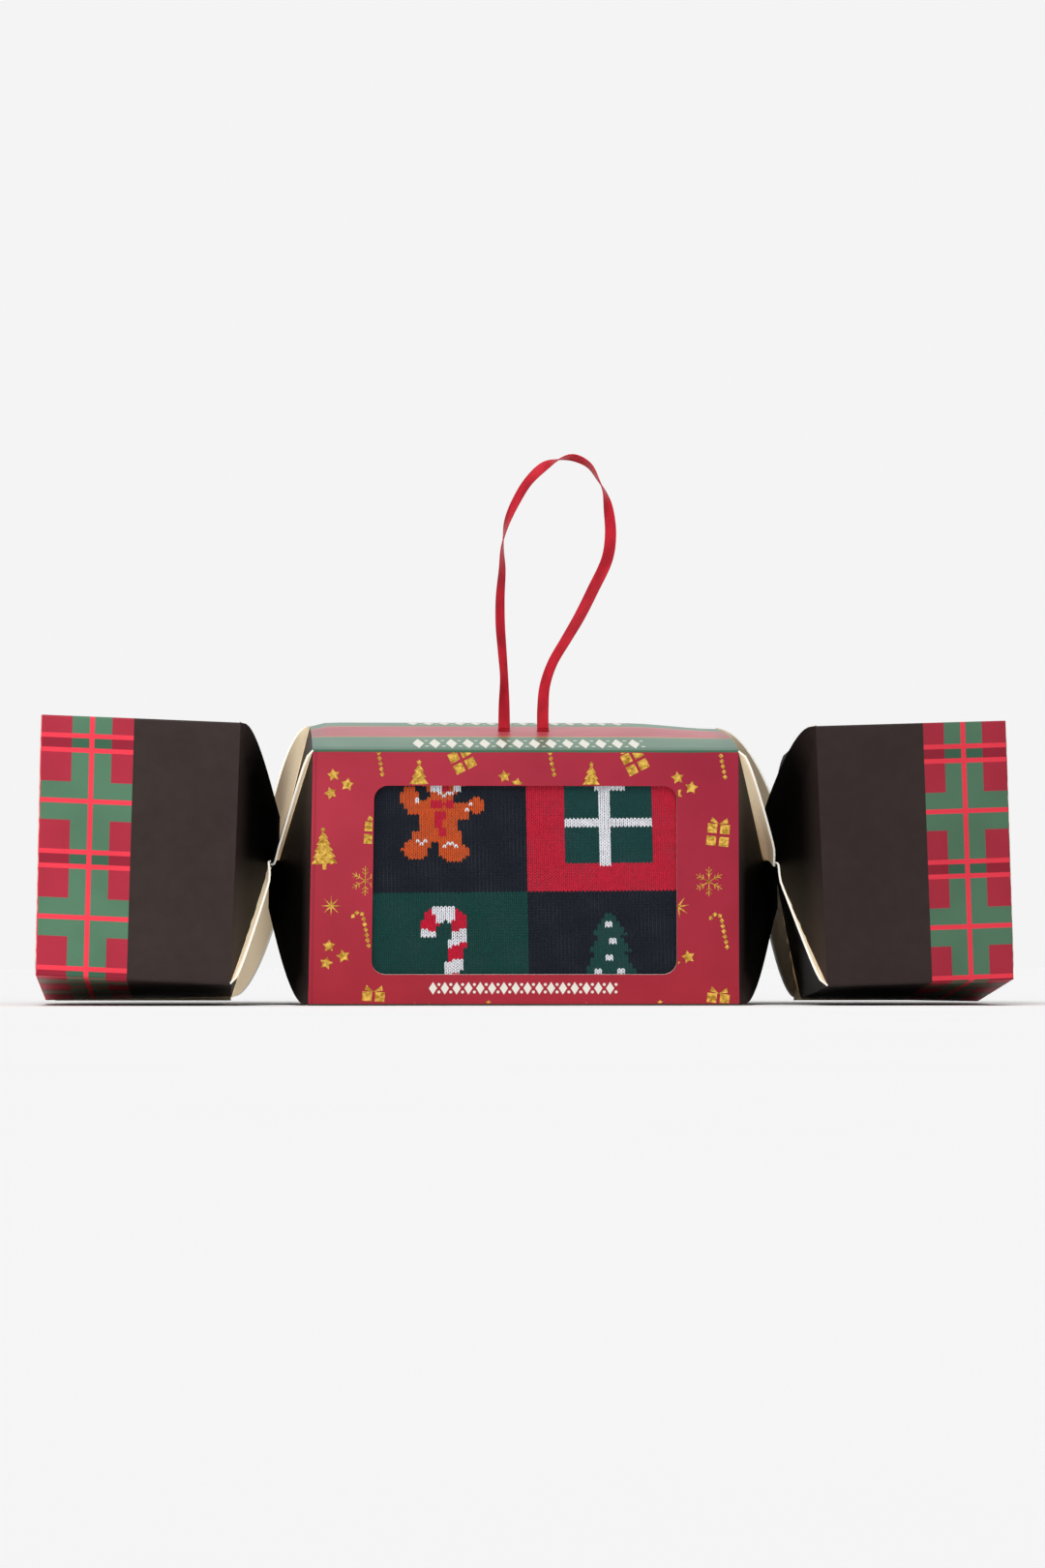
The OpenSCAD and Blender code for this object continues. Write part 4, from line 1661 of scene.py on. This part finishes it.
def stitch_group():
    """Puts a stitch on every point, each a little different."""
    group = bpy.data.node_groups.new("stitches", "GeometryNodeTree")
    kinds = {"Points": "Geometry", "Stitch": "Object", "Yarn": "Material", "Seed": "Int"}
    kinds |= dict.fromkeys(STITCH_SIZES, "Float") | dict.fromkeys(STITCH_TURNS, "Vector")
    sockets = {
        name: group.interface.new_socket(name, in_out="INPUT", socket_type=f"NodeSocket{kind}").identifier
        for name, kind in kinds.items()
    }
    group.interface.new_socket("Geometry", in_out="OUTPUT", socket_type="NodeSocketGeometry")
    given = group.nodes.new("NodeGroupInput").outputs

    def made(kind, inputs, **settings):
        node = group.nodes.new(kind)
        for key, value in settings.items():
            setattr(node, key, value)
        for key, value in inputs.items():
            if isinstance(value, bpy.types.NodeSocket):
                group.links.new(value, node.inputs[key])
            else:
                node.inputs[key].default_value = value
        return node.outputs

    size = made("FunctionNodeRandomValue", {
        2: given["Least Size"], 3: given["Most Size"], "Seed": given["Seed"],
    }, data_type="FLOAT")
    turn = made("FunctionNodeRandomValue", {
        0: given["Least Turn"], 1: given["Most Turn"], "Seed": given["Seed"],
    }, data_type="FLOAT_VECTOR")
    shape = made("GeometryNodeObjectInfo", {"Object": given["Stitch"]})
    put = made("GeometryNodeInstanceOnPoints", {
        "Points": given["Points"], "Instance": shape["Geometry"], "Scale": size[1], "Rotation": turn[0],
    })
    real = made("GeometryNodeRealizeInstances", {0: put[0]})
    cover = made("GeometryNodeSetMaterial", {0: real[0], "Material": given["Yarn"]})
    made("NodeGroupOutput", {0: cover[0]})
    return group, sockets


def knit_points(left, right, low, high, colour_at):
    """Places and yarn colours of one field's stitches, which lie in slight waves."""
    face = FRONT_SOCK_Y + STITCH_R + STITCH_GAP
    points = []
    colours = []
    for column in range(left, right):
        for row in range(round(low / COURSE), round(high / COURSE)):
            x, z = (column + 0.5) * WALE, (row + 0.5) * COURSE
            wave = 0.05 * sin(x * 0.5 + z * 0.2) + 0.04 * sin(z * 0.7 - x * 0.15)
            points.append(in_body(
                KNIT_CORNER[0] + x - KNIT_LEAN * z, face + wave * 0.6, KNIT_CORNER[1] + z + KNIT_TILT * x
            ))
            colours.append(colour_at(x, z))
    return points, colours


def stitched_mesh(name, points, colours, group, inputs):
    """Stitches on all the points, each in its point's yarn, as one plain mesh."""
    mesh = bpy.data.meshes.new("points")
    mesh.from_pydata([p * MM for p in points], [], [])
    attribute = mesh.attributes.new("yarn", "FLOAT_COLOR", "POINT")
    attribute.data.foreach_set("color", [channel for colour in colours for channel in colour])
    holder = bpy.data.objects.new("points", mesh)
    bpy.context.collection.objects.link(holder)
    modifier = holder.modifiers.new("stitches", "NODES")
    modifier.node_group = group
    for identifier, value in inputs.items():
        modifier[identifier] = value
    ready = holder.evaluated_get(bpy.context.evaluated_depsgraph_get())
    knit = bpy.data.meshes.new_from_object(ready)
    knit.name = name
    knit.shade_smooth()
    knit.materials.clear()
    bpy.data.objects.remove(holder)
    return knit


def add_knit(yarn_finish):
    stitch = bpy.data.objects.new("stitch", stitch_mesh())
    bpy.context.collection.objects.link(stitch)
    group, sockets = stitch_group()
    settings = {"Stitch": stitch, "Yarn": yarn_finish} | STITCH_SIZES | STITCH_TURNS
    for seed, (name, field) in enumerate(KNIT_FIELDS.items(), KNIT_SEED):
        inputs = {sockets[key]: value for key, value in settings.items()} | {sockets["Seed"]: seed}
        knit = stitched_mesh(name, *knit_points(*field), group, inputs)
        add_piece(knit, "middle_box", [yarn_finish], (), "knit_blocks")
    bpy.data.objects.remove(stitch)


def add_socks():
    front = plain_knit("knit_dark", rgb(20, 24, 30), rgb(44, 50, 60))
    back = plain_knit("knit_green", rgb(24, 58, 54), rgb(56, 98, 90))
    mesh = folded_sock_mesh("front_sock_layers", FRONT_SOCK_Y, 0.1)
    add_piece(mesh, "middle_box", [front], ["sock_front"], "knit_blocks")
    mesh = folded_sock_mesh("back_sock_layers", BACK_SOCK_Y, 0)
    add_piece(mesh, "middle_box", [back], ["sock_back"], "knit_plain")
    add_knit(yarn())


def dress_solids():
    """The flaps and the card are right as they are and only take a finish."""
    inside_board = bare_board("bare_board_inside", Finish.object_place)
    covers = {f"{part}_glue_flap": inside_board for part in ("body", "left_end", "right_end")}
    covers["sock_card"] = card_stock()
    for name, material in covers.items():
        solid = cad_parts[name]
        solid.data.materials.clear()
        solid.data.materials.append(material)


# Stage

FLOOR_HALF = 3000
FLOOR_GAP = 0.05
BACKGROUND = 0.905
DOME_TOP = (-0.1, -0.55, 0.83)
DOME_LOW = 0.06
DOME_HIGH = 0.74
DOME_FULL = 0.9
KEY_WAY = (0.12, 0.6, -0.79)
KEY_STRENGTH = 1.95
KEY_ANGLE = 30


def add_floor():
    finish = Finish("floor_paper", Specular_IOR_Level=0.0, Roughness=0.9)
    grain = finish.noise(finish.object_place(), 0.01, 2)
    finish.colour(finish.mixed(grain, rgb(246, 246, 246), rgb(248, 248, 248)))
    corners = [(a * FLOOR_HALF, b * FLOOR_HALF, -FLOOR_GAP) for a, b in ((-1, -1), (1, -1), (1, 1), (-1, 1))]
    mesh = bpy.data.meshes.new("floor")
    mesh.from_pydata([Vector(c) * MM for c in corners], [], [(0, 1, 2, 3)])
    mesh.materials.append(finish.material)
    floor = bpy.data.objects.new("floor", mesh)
    bpy.context.collection.objects.link(floor)


def add_world():
    """A dome of light from the front and above, and the pale background that the camera sees."""
    world = bpy.data.worlds.new("studio")
    bpy.context.scene.world = world
    nodes = Nodes(world)
    path = nodes.node("ShaderNodeLightPath")
    seen = nodes.value(path, "Is Camera Ray").over(nodes.value(path, "Is Glossy Ray"))
    seen = seen.over(nodes.value(path, "Is Transmission Ray"))
    way = nodes.value(nodes.node("ShaderNodeTexCoord"), "Generated")
    facing = nodes.node("ShaderNodeVectorMath", {"operation": "DOT_PRODUCT"}, {0: way, 1: DOME_TOP})
    light = nodes.ramp(nodes.value(facing, "Value"), 0, DOME_FULL, DOME_LOW, DOME_HIGH)
    dome, shown = (
        nodes.value(nodes.node("ShaderNodeBackground", None, {"Color": (1, 1, 1, 1), "Strength": strength}))
        for strength in (light, BACKGROUND)
    )
    either = nodes.node("ShaderNodeMixShader", None, {0: seen, 1: dome, 2: shown})
    nodes.node("ShaderNodeOutputWorld", None, {0: nodes.value(either)})


def add_key():
    data = bpy.data.lights.new("key", "SUN")
    data.energy = KEY_STRENGTH
    data.angle = radians(KEY_ANGLE)
    sun = bpy.data.objects.new("key", data)
    bpy.context.collection.objects.link(sun)
    sun.rotation_euler = Vector(KEY_WAY).to_track_quat("-Z", "Y").to_euler()


add_body_panels()
add_end_panels()
add_closures()
add_necks()
add_flat_print()
add_socks()
dress_solids()
add_floor()
add_world()
add_key()
bpy.context.scene.view_settings.view_transform = "Standard"
